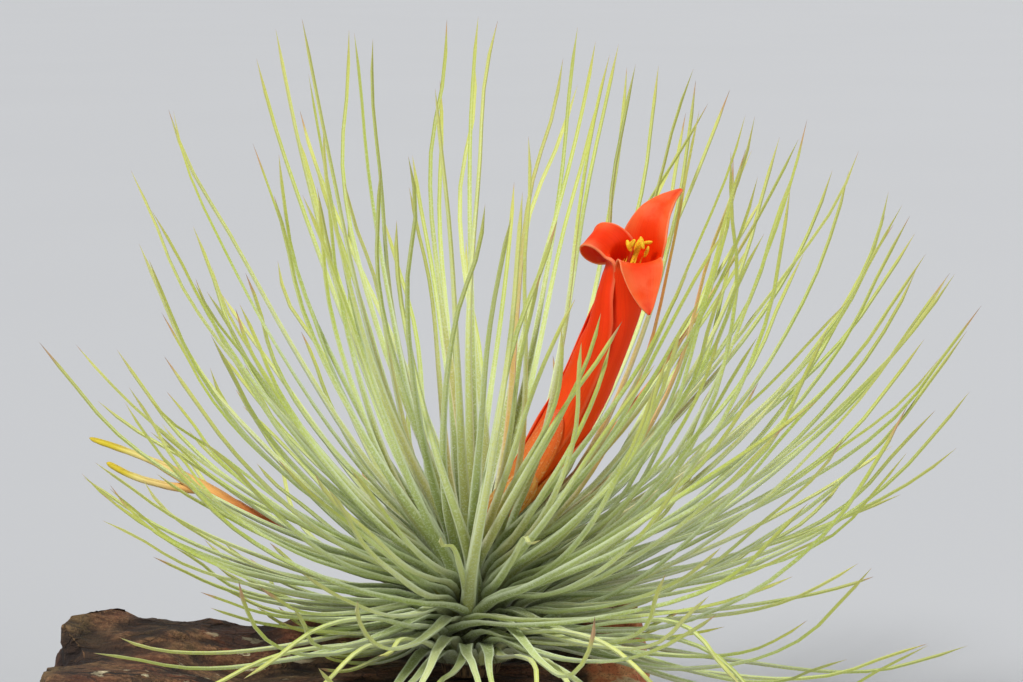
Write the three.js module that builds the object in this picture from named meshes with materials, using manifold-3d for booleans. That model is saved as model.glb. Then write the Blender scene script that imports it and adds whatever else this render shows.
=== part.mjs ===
// A pincushion air plant in flower, growing on a piece of bark.
// Millimetres, +Z up, the front faces -Y. The origin is on the bark's flat underside, below the stem.
import * as THREE from 'three';
import { mergeVertices } from 'three/addons/utils/BufferGeometryUtils.js';
import Module from 'manifold-3d';

const wasm = await Module();
wasm.setup();

// ---------- driving dimensions ----------

const CLEARANCE = 0.3; // between pieces that touch on the plant
const VIEW_TILT = THREE.MathUtils.degToRad(14); // the viewer's height over the plant

const CROWN_CENTRE = new THREE.Vector3(0, 0, 42); // middle of the dome that the leaves grow out of
const CROWN_RADIUS = 11; // outside of the leaf sheaths at their widest ring
const CROWN_HEIGHT = 18; // from that ring up to the tip of the dome
const CROWN_TOP_ANGLE = THREE.MathUtils.degToRad(17); // polar angles of the first and last tier
const CROWN_LOW_ANGLE = THREE.MathUtils.degToRad(110);
const SHEATH_THICKNESS = 1.3;
const TIER_COUNT = 18;
const LEAF_PITCH = 3.3; // along a tier, from one leaf base to the next
const RING_SIDES = 14;
const GOLDEN_ANGLE = 2.4; // from tier to tier, so that leaves don't stand over each other

const LEAF_BASE_WIDTH = 3.0;
const LEAF_INNER_WIDTH = 2.1; // base width of the young leaves around the top
const LEAF_TIP_WIDTH = 0.9;
const LEAF_BASE_DEPTH = 1.1;
const LEAF_TIP_DEPTH = 0.5;
const LEAF_TAPER = 1.8;
const LEAF_STATIONS = [0, 0.08, 0.24, 0.46, 0.74, 1]; // shares of the length that carry a section
const LEAF_LENGTH = { left: 66, right: 84, top: 118 }; // usual reach of the unnamed leaves to each side
const LOW_SHARE = 0.55; // of that reach, for the lowest leaves at both sides
const LEAF_RISE = [1.0, -0.1]; // sine of the elevation that the first and last leaves reach for
const LEAF_SPACING = 0.12; // least space between two blades, on each side
const LEAF_BASE_LIFT = 0.3; // how far the leaves lean upwards as they leave the dome
const LEAF_TIP_RUN = 0.35; // share of the length over which a leaf's end takes its own way
const LEAF_TRIES = 70;
const TIP_SHIFT = { aside: 0.12, deep: 0.36 }; // how much further a tip may move at each try to find a way
const SLOT_CHOICES = 4; // how many places on the dome are tried for a named tip
const FRONT_OPENING = THREE.MathUtils.degToRad(46); // least angle from an unnamed leaf to the viewer
const SHORTEST_REACH = 0.78; // share of the usual reach that the shortest unnamed leaves have
const LEAF_LOWEST = 1.5; // height of the lowest blade over the surface

const STEM_FOOT_RADIUS = 6.5;
const BARK = { left: -97, right: 44, front: -38, back: 34, seat: 31.5 };
const BARK_RISE = { plain: 30, back: 10, left: 7, right: 9 }; // the upper face's height, and what is added
const STEM_FOOT_HEIGHT = BARK.seat + CLEARANCE;

const FLOWER_TUBE_RADIUS = [2.3, 5.2]; // at the foot and at the mouth
const PETAL_THICKNESS = 0.6;
const SEPAL_THICKNESS = 0.7;
const BRACT_THICKNESS = 0.5;
const STAMEN = { count: 6, ring: 1.3, radius: 0.3, anther: [0.6, 0.6, 1.4], past: [1.5, 5] };
const PISTIL = { radius: 0.4, stigma: [0.7, 0.7, 0.8], past: 5.5 };
const STALK_RADIUS = [1.7, 2.2];

// ---------- places seen from the front ----------

// across, up and towards the viewer, from the middle of the crown
function seen(across, up, towards) {
  return new THREE.Vector3(
    across,
    up * Math.sin(VIEW_TILT) - towards * Math.cos(VIEW_TILT),
    up * Math.cos(VIEW_TILT) + towards * Math.sin(VIEW_TILT),
  );
}

const TOWARDS_VIEWER = seen(0, 0, 1);
const VIEWER_DISTANCE = 630; // from the crown's middle

// The leaf tips that draw the plant's outline, each as across, up, towards the viewer.
const OUTLINE_TIPS = [
  // before the flower's tube
  [28, 56, 62], [22, 56, 66], [52, 80, 60], [50, 67, 70], [59, 78, 62], [41, 29, 80], [48, 15, 80],
  [56, 47, 76], [46, 65, 60], [42, 59, 64], [39, 53, 68], [50, 59, 62], [44, 71, 56], [36, 47, 72],
  [57, 57, 66], [21, 65, 62], [18, 59, 66], [26, 62, 64], [33, 52, 72], [30, 60, 66], [14, 70, 64],
  // upper left
  [-73, 98, 20], [-69, 118, -18], [-66, 86, 42], [-78, 90, -40], [-46, 102, 30], [-44, 135, -10],
  [-36, 130, 25], [-42, 119, -45], [-30, 102, 50], [-38, 113, -62], [-28, 138, -25], [-21, 127, 18],
  [-18, 92, 60], [-14, 114, -58], [-7, 128, -35], [-5, 133, 10], [2, 140, -20], [6, 128, 32],
  [3, 83, 70], [-30, 106, -70], [-65, 66, 30], [-60, 80, -55], [11, 110, -75], [-64, 111, 19],
  [-49, 130, -19], [-34, 116, 34], [-41, 124, -52], [-25, 128, 19], [-7, 108, 60], [-68, 98, -67],
  [8, 79, 80], [-64, 73, 63], [-1, 97, -85], [1, 136, -42], [-22, 103, -85], [-12, 91, 80], [12, 100, 50],
  // upper right
  [25, 138, -22], [20, 121, 26], [27, 124, 30], [35, 136, -32], [43, 127, -12], [31, 127, -55],
  [38, 102, 55], [49, 117, 20], [60, 123, -20], [52, 123, -50], [58, 107, 36], [68, 114, -52],
  [58, 90, 60], [52, 118, -70], [72, 106, 12], [77, 107, -48], [84, 105, -25], [84, 102, 20],
  [95, 98, -12], [92, 89, 28], [105, 92, -38], [82, 91, -66], [100, 81, 8], [111, 81, -26],
  [111, 69, 14], [76, 65, 62], [66, 95, -80], [29, 134, -19], [30, 122, 25], [25, 132, -45], [37, 131, -34],
  [33, 115, 29], [35, 114, 39], [38, 103, 48], [43, 104, 38], [52, 125, -19], [53, 115, 20], [57, 108, 31],
  [55, 97, 50], [66, 110, -58], [52, 97, 41], [50, 90, 50], [72, 113, -26], [72, 105, -58], [73, 109, 19],
  [64, 90, 51], [87, 104, -19], [95, 93, -18], [95, 88, 19], [98, 92, -18], [102, 81, -18], [103, 75, 19],
  [111, 80, -19], [70, 95, -77],
  // lower left
  [-97, 64, -12], [-84, 60, 22], [-83, 65, -40], [-70, 49, 44], [-90, 54, -58], [-76, 50, -74],
  [-80, 35, 20], [-88, 34, -22], [-76, 22, 38], [-27, 26, 88], [-42, 8, 62], [-72, -2, 40],
  [-75, -5, 58], [-32, 10, 84], [-49, 46, -88], [-59, 52, 80], [-50, 56, 80], [-63, 69, -85],
  [-37, 32, 80], [-30, 30, 80], [-23, 30, 80], [-55, 17, -85], [-40, 12, -80], [-57, 55, -85],
  [-52, 36, 80],
  // lower right
  [99, 56, 30], [114, 53, -20], [111, 51, -50], [105, 38, 14], [89, 35, 48], [101, 30, -38],
  [92, 36, -72], [72, 18, 60], [77, 24, -88], [82, 13, 24], [92, 13, -30], [45, 6, 86],
  [68, 1, 50], [74, -6, 64], [97, -4, 20], [113, -5, -24], [46, 2, 92], [60, 38, 88], [92, 63, 42],
  [85, 63, 52], [70, 58, 75], [107, 67, -40], [107, 63, 18], [82, 47, 66], [104, 44, -70], [84, 21, -85],
  [77, 11, 80], [90, -4, 65], [67, 43, 80], [72, 36, 80],
];

// Short leaves that curl down over the front of the crown.
const CURLED_TIPS = [
  [6, -20, 48], [-30, -12, 52], [-9, -20, 46], [15, -18, 50], [-6, 18, 52], [14, 17, 60], [-19, -6, 44],
  [26, -24, 58], [-22, -26, 60], [40, -16, 70], [-44, -10, 72], [0, -30, 66], [34, -30, 72],
  [52, -12, 80], [-14, -32, 74], [-56, -14, 62], [62, -18, 60],
];

// Leaves that lie low at the front and turn up at their tips.
const UPTURNED_TIPS = [[-46, 9, 58], [-35, 4, 66], [-22, 5, 70], [-30, -8, 64], [24, 2, 74], [38, 10, 70]];

// How blades curve, each as a middle value, its spread, and how the spread grows with each try:
// how far they keep their first direction, how deep they sag before the tip and how far they swing aside.
const STRETCHES = {
  plain: { first: [0.28, 0.06, 0.003], sag: [0.17, 0.1, 0.002], sway: [0, 0.12, 0.002] },
  curled: { first: [0.32, 0.08, 0], sag: [-0.25, 0.1, 0], sway: [0, 0.1, 0] },
  upturned: { first: [0.3, 0.08, 0], sag: [0.34, 0.08, 0], sway: [0, 0.16, 0] },
};

// ---------- solids ----------

// A closed solid from a geometry, with its faces turned outwards.
function solidOf(geometry) {
  const bare = geometry.clone();
  bare.deleteAttribute('normal');
  bare.deleteAttribute('uv');
  const merged = mergeVertices(bare, 1e-4);
  const places = merged.attributes.position.array;
  const faces = Uint32Array.from(merged.index.array);
  if (signedVolume(places, faces) < 0) {
    for (let i = 0; i < faces.length; i += 3) {
      [faces[i], faces[i + 1]] = [faces[i + 1], faces[i]];
    }
  }
  return new wasm.Manifold(new wasm.Mesh({ numProp: 3, vertProperties: places, triVerts: faces }));
}

function signedVolume(places, faces) {
  const [a, b, c] = [new THREE.Vector3(), new THREE.Vector3(), new THREE.Vector3()];
  let sum = 0;
  for (let i = 0; i < faces.length; i += 3) {
    a.fromArray(places, 3 * faces[i]);
    b.fromArray(places, 3 * faces[i + 1]);
    c.fromArray(places, 3 * faces[i + 2]);
    sum += a.dot(b.cross(c)) / 6;
  }
  return sum;
}

function geometryOf(solid) {
  const mesh = solid.getMesh();
  const geometry = new THREE.BufferGeometry();
  geometry.setAttribute('position', new THREE.BufferAttribute(mesh.vertProperties, 3));
  geometry.setIndex(new THREE.BufferAttribute(mesh.triVerts, 1));
  geometry.computeVertexNormals();
  return geometry;
}

// A solid skinned over rings of points, each ring with as many points, closed at both ends.
function skinned(rings) {
  const count = rings[0].length;
  const positions = rings.flat().flatMap((p) => [p.x, p.y, p.z]);
  const index = [];
  for (let r = 0; r + 1 < rings.length; r += 1) {
    for (let i = 0; i < count; i += 1) {
      const j = (i + 1) % count;
      const [a, b, c, d] = [r * count + i, r * count + j, (r + 1) * count + i, (r + 1) * count + j];
      index.push(a, b, c, b, d, c);
    }
  }
  const last = (rings.length - 1) * count;
  for (let i = 1; i + 1 < count; i += 1) {
    index.push(0, i + 1, i, last, last + i, last + i + 1);
  }
  const geometry = new THREE.BufferGeometry();
  geometry.setAttribute('position', new THREE.Float32BufferAttribute(positions, 3));
  geometry.setIndex(index);
  return geometry;
}

// A round tube along a curve, its radius given by the share of the length.
function tube(curve, radius, steps, sides) {
  const frames = curve.computeFrenetFrames(steps, false);
  const rings = [];
  for (let i = 0; i <= steps; i += 1) {
    const centre = curve.getPointAt(i / steps);
    const ring = [];
    for (let k = 0; k < sides; k += 1) {
      const turn = (2 * Math.PI * k) / sides;
      ring.push(centre.clone()
        .addScaledVector(frames.normals[i], radius(i / steps) * Math.cos(turn))
        .addScaledVector(frames.binormals[i], radius(i / steps) * Math.sin(turn)));
    }
    rings.push(ring);
  }
  return skinned(rings);
}

// A thin sheet with a wall: rows of points on its outer face and the unit normals there.
function sheet(rows, normals, thickness) {
  const rings = rows.map((row, r) => {
    const inner = row.map((p, i) => p.clone().addScaledVector(normals[r][i], -thickness));
    return [...row, ...inner.reverse()];
  });
  return skinned(rings);
}

// A solid turned around the vertical through the crown; the profile closes on itself.
function lathe(profile, sides) {
  const closed = [...profile, profile[0]].map(([r, z]) => new THREE.Vector2(r, z));
  return new THREE.LatheGeometry(closed, sides).rotateX(Math.PI / 2);
}

// ---------- the crown: a dome of leaf sheaths, tier over tier ----------

// A point of the dome's profile at a polar angle, so far under the outer surface.
function domeProfile(angle, depth) {
  const height = CROWN_CENTRE.z + (CROWN_HEIGHT - depth) * Math.cos(angle);
  return [(CROWN_RADIUS - depth) * Math.sin(angle), height];
}

// Polar angles that cut the dome's profile into bands of one height.
function tierAngles() {
  const samples = 400;
  const lengths = [0];
  const angleAt = (i) => THREE.MathUtils.lerp(CROWN_TOP_ANGLE, CROWN_LOW_ANGLE, i / samples);
  for (let i = 1; i <= samples; i += 1) {
    const [r0, z0] = domeProfile(angleAt(i - 1), 0);
    const [r1, z1] = domeProfile(angleAt(i), 0);
    lengths.push(lengths[i - 1] + Math.hypot(r1 - r0, z1 - z0));
  }
  const angles = [];
  for (let tier = 0; tier <= TIER_COUNT; tier += 1) {
    const wanted = (lengths[samples] * tier) / TIER_COUNT;
    angles.push(angleAt(lengths.findIndex((length) => length >= wanted - 1e-9)));
  }
  return { angles, pitch: lengths[samples] / TIER_COUNT };
}

const TIERS = tierAngles();

// The places on one tier where leaves grow, with the direction out of the dome.
function slotsOfTier(tier) {
  const angle = (TIERS.angles[tier] + TIERS.angles[tier + 1]) / 2;
  const [radius, height] = domeProfile(angle, SHEATH_THICKNESS / 2);
  const count = 2 * Math.max(2, Math.round((Math.PI * radius) / LEAF_PITCH));
  const phase = tier * GOLDEN_ANGLE;
  const slots = [];
  for (let i = 0; i < count; i += 1) {
    const turn = phase + (2 * Math.PI * (i + 0.5)) / count;
    const out = new THREE.Vector3(
      (Math.sin(angle) / CROWN_RADIUS) * Math.cos(turn),
      (Math.sin(angle) / CROWN_RADIUS) * Math.sin(turn),
      Math.cos(angle) / CROWN_HEIGHT,
    ).normalize();
    slots.push({
      tier,
      half: i < count / 2 ? 0 : 1,
      out,
      side: new THREE.Vector3(-Math.sin(turn), Math.cos(turn), 0),
      root: new THREE.Vector3(radius * Math.cos(turn), radius * Math.sin(turn), height),
      width: THREE.MathUtils.lerp(LEAF_INNER_WIDTH, LEAF_BASE_WIDTH, radius / CROWN_RADIUS),
      taken: false,
    });
  }
  return slots;
}

// The sheath that joins the leaves of half a tier.
function sheathHalves(tier) {
  const gap = CLEARANCE / 2 / (TIERS.pitch / (TIERS.angles[tier + 1] - TIERS.angles[tier]));
  const [top, low] = [TIERS.angles[tier] + gap, TIERS.angles[tier + 1] - gap];
  const inner = [domeProfile(low, SHEATH_THICKNESS), domeProfile(top, SHEATH_THICKNESS)];
  const profile = [domeProfile(top, 0), domeProfile(low, 0), ...inner];
  const ring = solidOf(lathe(profile, RING_SIDES));
  return [1, -1].map((way) => {
    const room = new THREE.BoxGeometry(80, 40, 80).translate(0, way * (20 + CLEARANCE / 2), CROWN_CENTRE.z);
    return ring.intersect(solidOf(room.rotateZ(tier * GOLDEN_ANGLE)));
  });
}

// ---------- leaves ----------

// The same row of numbers every time, from 0 to 1.
function numberRow(start) {
  let state = start;
  return () => {
    state = (state * 1664525 + 1013904223) % 4294967296;
    return state / 4294967296;
  };
}

const chance = numberRow(77);
const spread = (most) => (2 * chance() - 1) * most;

// A blade's path leaves the dome square, sags a little and lifts to its tip.
function leafPath(slot, tip, stretch) {
  const root = slot.root.clone();
  const chord = tip.clone().sub(root);
  const length = chord.length();
  const along = chord.clone().normalize();
  const lift = new THREE.Vector3(0, 0, 1).addScaledVector(along, -along.z);
  const start = slot.out.clone();
  start.z += LEAF_BASE_LIFT;
  return new THREE.CubicBezierCurve3(
    root,
    root.clone().addScaledVector(start.normalize(), length * stretch.first),
    tip.clone().addScaledVector(along, -length * LEAF_TIP_RUN).addScaledVector(lift, -length * stretch.sag)
      .addScaledVector(slot.side, length * stretch.sway),
    tip,
  );
}

function leafWidth(slot, t) {
  return LEAF_TIP_WIDTH + (slot.width - LEAF_TIP_WIDTH) * (1 - t) ** LEAF_TAPER;
}

function leafDepth(t) {
  return LEAF_TIP_DEPTH + (LEAF_BASE_DEPTH - LEAF_TIP_DEPTH) * (1 - t) ** LEAF_TAPER;
}

// A blade is three-sided: a flat upper face and a keel below. It ends in a point.
function leafSolid(slot, path, grown) {
  const side = slot.side.clone();
  const rings = LEAF_STATIONS.slice(0, -1).map((t) => {
    const tangent = path.getTangentAt(t);
    side.addScaledVector(tangent, -side.dot(tangent)).normalize();
    const down = new THREE.Vector3().crossVectors(side, tangent);
    const half = leafWidth(slot, t) / 2 + grown;
    const depth = leafDepth(t) + 2 * grown;
    const centre = path.getPointAt(t);
    return [
      centre.clone().addScaledVector(side, -half).addScaledVector(down, -depth / 3),
      centre.clone().addScaledVector(side, half).addScaledVector(down, -depth / 3),
      centre.clone().addScaledVector(down, (2 * depth) / 3),
    ];
  });
  const positions = [...rings.flat(), path.getPointAt(1)].flatMap((p) => [p.x, p.y, p.z]);
  const apex = rings.length * 3;
  const index = [0, 2, 1];
  for (let r = 0; r + 1 < rings.length; r += 1) {
    for (let i = 0; i < 3; i += 1) {
      const j = (i + 1) % 3;
      index.push(3 * r + i, 3 * r + j, 3 * r + 3 + i, 3 * r + j, 3 * r + 3 + j, 3 * r + 3 + i);
    }
  }
  for (let i = 0; i < 3; i += 1) {
    index.push(apex - 3 + i, apex - 3 + ((i + 1) % 3), apex);
  }
  const geometry = new THREE.BufferGeometry();
  geometry.setAttribute('position', new THREE.Float32BufferAttribute(positions, 3));
  geometry.setIndex(index);
  return solidOf(geometry);
}

function boxesMeet(a, b) {
  return [0, 1, 2].every((k) => a.min[k] <= b.max[k] && b.min[k] <= a.max[k]);
}

function meets(solid, others) {
  const box = solid.boundingBox();
  return others.some((other) => {
    if (!boxesMeet(box, other.box)) {
      return false;
    }
    const shared = solid.intersect(other.solid);
    const found = !shared.isEmpty();
    shared.delete();
    return found;
  });
}

const blades = []; // every blade so far: its slot, path, solid and box
const obstacles = []; // what no blade may pass through

// Grows one blade from a slot if it finds a way clear of the others.
function grow(slot, tipOf, stretchAt) {
  for (let attempt = 0; attempt < LEAF_TRIES; attempt += 1) {
    const path = leafPath(slot, tipOf(attempt), stretchAt(attempt));
    const lowest = Math.min(...LEAF_STATIONS.map((t) => path.getPointAt(t).z));
    if (lowest > LEAF_LOWEST) {
      const loose = leafSolid(slot, path, LEAF_SPACING);
      const blocked = meets(loose, obstacles) || meets(loose, blades);
      loose.delete();
      if (!blocked) {
        const solid = leafSolid(slot, path, 0);
        blades.push({ slot, path, solid, box: solid.boundingBox() });
        slot.taken = true;
        return true;
      }
    }
  }
  return false;
}

const slots = Array.from({ length: TIER_COUNT }, (_, tier) => slotsOfTier(tier)).flat();

// The leaves fan out evenly over the half sphere, the topmost upright and the lowest just under level.
for (const [order, slot] of slots.entries()) {
  const share = (order + 0.5) / slots.length;
  const rise = THREE.MathUtils.clamp(THREE.MathUtils.lerp(...LEAF_RISE, share), -1, 1);
  const level = Math.sqrt(1 - rise ** 2) / Math.hypot(slot.out.x, slot.out.y);
  slot.aim = new THREE.Vector3(slot.out.x * level, slot.out.y * level, rise);
}

function nearestSlots(direction) {
  return slots.filter((slot) => !slot.taken).sort((a, b) => b.aim.dot(direction) - a.aim.dot(direction));
}

// Draws a blade's curve of one kind, wider spread at each try.
function stretchOf(kind) {
  const draw = ([middle, most, more], attempt) => middle + spread(most + more * attempt);
  const { first, sag, sway } = STRETCHES[kind];
  return (attempt) => ({ first: draw(first, attempt), sag: draw(sag, attempt), sway: draw(sway, attempt) });
}

// A blade to a tip that is read from the front, from the nearest free slot that has a way to it.
function growTo([across, up, towards], kind) {
  const offset = seen(across, up, towards);
  const tipOf = (attempt) => {
    const [aside, deep] = [TIP_SHIFT.aside * attempt, TIP_SHIFT.deep * attempt];
    return CROWN_CENTRE.clone().add(offset).addScaledVector(TOWARDS_VIEWER, spread(deep))
      .add(seen(spread(aside), spread(aside), 0));
  };
  const choices = nearestSlots(offset.clone().normalize()).slice(0, SLOT_CHOICES);
  return choices.some((slot) => grow(slot, tipOf, stretchOf(kind)));
}

// A blade between the named ones. Those at the front part to the sides, so that few point at the viewer.
function growBetween(slot) {
  const { lerp, smoothstep } = THREE.MathUtils;
  const tipOf = () => {
    const nudge = new THREE.Vector3(spread(0.14), spread(0.14), spread(0.1));
    const way = slot.aim.clone().add(nudge).normalize();
    const off = way.angleTo(TOWARDS_VIEWER);
    if (off < Math.PI / 2) {
      const turn = new THREE.Vector3().crossVectors(TOWARDS_VIEWER, way).normalize();
      way.copy(TOWARDS_VIEWER).applyAxisAngle(turn, lerp(FRONT_OPENING, Math.PI / 2, off / (Math.PI / 2)));
    }
    const low = (1 - smoothstep(way.z, 0, 0.4)) * smoothstep(Math.abs(way.x), 0, 0.5);
    const level = lerp(LEAF_LENGTH.left, LEAF_LENGTH.right, (way.x + 1) / 2) * lerp(1, LOW_SHARE, low);
    const reach = lerp(level, LEAF_LENGTH.top, Math.max(way.z, 0) ** 0.8);
    return CROWN_CENTRE.clone().addScaledVector(way, reach * lerp(1, SHORTEST_REACH, chance()));
  };
  return grow(slot, tipOf, stretchOf('plain'));
}

// ---------- bark ----------

// Height of the bark's upper face: level under the stem, higher at the back and at the left end.
function barkTop(x, y) {
  const { smoothstep, lerp } = THREE.MathUtils;
  const back = BARK_RISE.back * smoothstep(y, 4, 26) * (0.75 + 0.25 * Math.cos((x + 35) / 14));
  const left = BARK_RISE.left * smoothstep(-x, 45, 88) + 1.2 * Math.sin(x / 6);
  const right = BARK_RISE.right * smoothstep(x, 14, 34) * smoothstep(y, -6, 14);
  const grain = 0.9 * Math.sin(x / 3.7 + y / 9) + 0.8 * Math.sin(y / 4.3 - x / 17);
  const edge = -9 * smoothstep(-y, 18, 38) - 6 * smoothstep(y, 26, 34) - 3 * smoothstep(x, 38, 44);
  const rough = BARK_RISE.plain + back + left + right + grain + edge;
  return lerp(BARK.seat, rough, smoothstep(Math.hypot(x, y), 13, 26));
}

// A split piece of bark: level below, round corners, ragged ends and sides that bulge at half height.
function barkPiece() {
  const width = BARK.right - BARK.left;
  const depth = BARK.back - BARK.front;
  const [middleX, middleY] = [(BARK.right + BARK.left) / 2, (BARK.back + BARK.front) / 2];
  const slab = new THREE.BoxGeometry(width, depth, 1, 16, 9, 2);
  slab.translate(middleX, middleY, 0.5);
  const place = slab.attributes.position;
  for (let i = 0; i < place.count; i += 1) {
    const [x, y, level] = [place.getX(i), place.getY(i), place.getZ(i)];
    const [across, deep] = [(x - middleX) / (width / 2), (y - middleY) / (depth / 2)];
    const waist = [0.93, 1, 0.9][Math.round(level * 2)];
    const ragged = 1 - 0.03 * (1 + Math.sin(y / 5)) - 0.08 * deep ** 4;
    const wavy = 1 - 0.05 * (1 + Math.sin(x / 11 + 1)) - 0.2 * across ** 6;
    const newX = middleX + (x - middleX) * ragged * (0.5 + waist / 2);
    const newY = middleY + (y - middleY) * wavy * waist;
    place.setXYZ(i, newX, newY, level * barkTop(newX, newY));
  }
  return solidOf(slab);
}

// ---------- stem ----------

function stemPiece() {
  const profile = [[0, STEM_FOOT_HEIGHT], [STEM_FOOT_RADIUS, STEM_FOOT_HEIGHT]];
  profile.push([STEM_FOOT_RADIUS, STEM_FOOT_HEIGHT + 2]);
  const steps = 8;
  for (let i = 0; i < steps; i += 1) {
    profile.push(domeProfile(CROWN_LOW_ANGLE * (1 - i / steps), SHEATH_THICKNESS + CLEARANCE));
  }
  profile.push([0, CROWN_CENTRE.z + CROWN_HEIGHT - SHEATH_THICKNESS - CLEARANCE]);
  return solidOf(lathe(profile, RING_SIDES));
}

// ---------- flower ----------

const flowerPath = new THREE.CatmullRomCurve3([
  new THREE.Vector3(0, 0, CROWN_CENTRE.z + CROWN_HEIGHT - SHEATH_THICKNESS + 0.1),
  new THREE.Vector3(0.2, 0, CROWN_CENTRE.z + CROWN_HEIGHT + 1),
  CROWN_CENTRE.clone().add(seen(3, 22, 5)),
  CROWN_CENTRE.clone().add(seen(12.5, 32, 6)),
  CROWN_CENTRE.clone().add(seen(22, 46, 7)),
  CROWN_CENTRE.clone().add(seen(28.5, 60, 9)),
  CROWN_CENTRE.clone().add(seen(33, 72, 11)),
  CROWN_CENTRE.clone().add(seen(35.5, 79, 15)),
]);
const STALK_SHARE = 0.115; // of the flower's path, up to the foot of the petals
const TUBE_SHARE = 0.12;
const UP_AND_BACK = seen(0, 0.6, -0.8);

// The path's point there, its direction, and what is behind and to the right of it.
function flowerFrame(s) {
  const along = flowerPath.getTangentAt(s);
  const back = UP_AND_BACK.clone().addScaledVector(along, -UP_AND_BACK.dot(along)).normalize();
  const right = new THREE.Vector3().crossVectors(back, along);
  return { centre: flowerPath.getPointAt(s), along, back, right };
}

function tubeRadius(s) {
  const [foot, mouth] = FLOWER_TUBE_RADIUS;
  return foot + (mouth - foot) * THREE.MathUtils.smoothstep(s, TUBE_SHARE - 0.05, 0.5);
}

function around(frame, turn) {
  return frame.back.clone().multiplyScalar(Math.cos(turn)).addScaledVector(frame.right, Math.sin(turn));
}

// A row of a shell around the flower's path: its points and their outward directions.
function shellRow(s, turn, halfAngle, radius) {
  const frame = flowerFrame(s);
  const normals = ROW_SPOTS.map((v) => around(frame, turn + v * halfAngle));
  return { points: normals.map((n) => frame.centre.clone().addScaledVector(n, radius)), normals };
}

// The room before the petals that leaves keep out of: its outline across and up, and how far it reaches.
const PETAL_OPENING = {
  outline: [
    [23.8, 83.6], [28.6, 90.2], [40.7, 98.1], [48.4, 98.1],
    [46.6, 84.9], [43.6, 76.6], [40, 67.3], [37.4, 67.3],
  ],
  depths: [14, 125],
};

const DEG = Math.PI / 180;

// The three petals: where they stand around the tube, and how their blades bend out of it between two
// shares. A skewed blade folds on a line that isn't square to the tube, and a swung one has its tip aside.
const PETALS = [
  {
    name: 'petal_upper', turn: 45.5, length: 17.5, bend: [-10, 57], bends: [0, 1],
    halfWidth: 6.4, skew: -19, swing: -2.8,
  },
  {
    name: 'petal_left', turn: -62, length: 16.9, bend: [21, 320], bends: [-0.16, 1.08],
    halfWidth: 4.6, skew: -28, swing: 2.1,
  },
  {
    name: 'petal_lower', turn: 173, length: 13.9, bend: [-33, 133], bends: [-0.05, 0.25],
    halfWidth: 5.2, skew: 15, swing: 0.7,
  },
];
const PETAL_HOLLOW = [0.8, 0.1]; // how hollow a blade is at foot and tip, against the tube's radius
const PETAL_HALF_ANGLE = 51 * DEG;
const PETAL_CLAW_STEPS = 7;
const PETAL_BLADE_STEPS = 10;
const ROW_SPOTS = [-1, -0.5, 0, 0.5, 1];

function petalSolid({ turn, length, bend, bends, halfWidth, skew, swing }) {
  const rows = [];
  for (let i = 0; i <= PETAL_CLAW_STEPS; i += 1) {
    const s = TUBE_SHARE + ((1 - TUBE_SHARE) * i) / PETAL_CLAW_STEPS;
    rows.push(shellRow(s, turn * DEG, PETAL_HALF_ANGLE, tubeRadius(s)));
  }
  const frame = flowerFrame(1);
  const across = around(frame, (turn - 90) * DEG).multiplyScalar(Math.cos(skew * DEG))
    .addScaledVector(frame.along, Math.sin(skew * DEG));
  const ahead = frame.along.clone().addScaledVector(across, -across.dot(frame.along)).normalize();
  const out = new THREE.Vector3().crossVectors(across, ahead);
  const radius = tubeRadius(1);
  const rib = frame.centre.clone().addScaledVector(around(frame, turn * DEG), radius);
  const step = length / PETAL_BLADE_STEPS;
  for (let i = 1; i <= PETAL_BLADE_STEPS; i += 1) {
    const q = i / PETAL_BLADE_STEPS;
    const bent = THREE.MathUtils.smoothstep(q - 0.5 / PETAL_BLADE_STEPS, ...bends);
    const lean = THREE.MathUtils.lerp(...bend, bent) * DEG;
    rib.addScaledVector(ahead, step * Math.cos(lean)).addScaledVector(out, step * Math.sin(lean));
    const normal = out.clone().multiplyScalar(Math.cos(lean)).addScaledVector(ahead, -Math.sin(lean));
    const full = THREE.MathUtils.lerp(radius * Math.sin(PETAL_HALF_ANGLE), halfWidth, Math.min(1, 4 * q));
    const half = full * Math.max(1 - q ** 1.6, 0.02) ** 0.8;
    const hollow = THREE.MathUtils.lerp(PETAL_HOLLOW[1], PETAL_HOLLOW[0], (1 - q) ** 2) / radius;
    const points = ROW_SPOTS.map((v) => rib.clone()
      .addScaledVector(across, swing * q ** 3 - v * half)
      .addScaledVector(normal, (-hollow * (v * half) ** 2) / 2));
    rows.push({ points, normals: points.map(() => normal) });
  }
  return solidOf(sheet(rows.map((row) => row.points), rows.map((row) => row.normals), PETAL_THICKNESS));
}

// A leaf-like shell around the flower's foot, which narrows to its tip.
function wrappedShell(turn, from, to, halfAngle, offset, thickness) {
  const steps = 6;
  const rows = Array.from({ length: steps + 1 }, (_, i) => {
    const s = THREE.MathUtils.lerp(from, to, i / steps);
    const narrowing = Math.sqrt(Math.max(1 - (i / steps) ** 2.5, 0.01));
    return shellRow(s, turn, halfAngle * narrowing, tubeRadius(s) + offset + thickness);
  });
  return solidOf(sheet(rows.map((row) => row.points), rows.map((row) => row.normals), thickness));
}

const THREAD_OPENING = 0.6; // how much wider the ring of filaments is at the mouth

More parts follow.
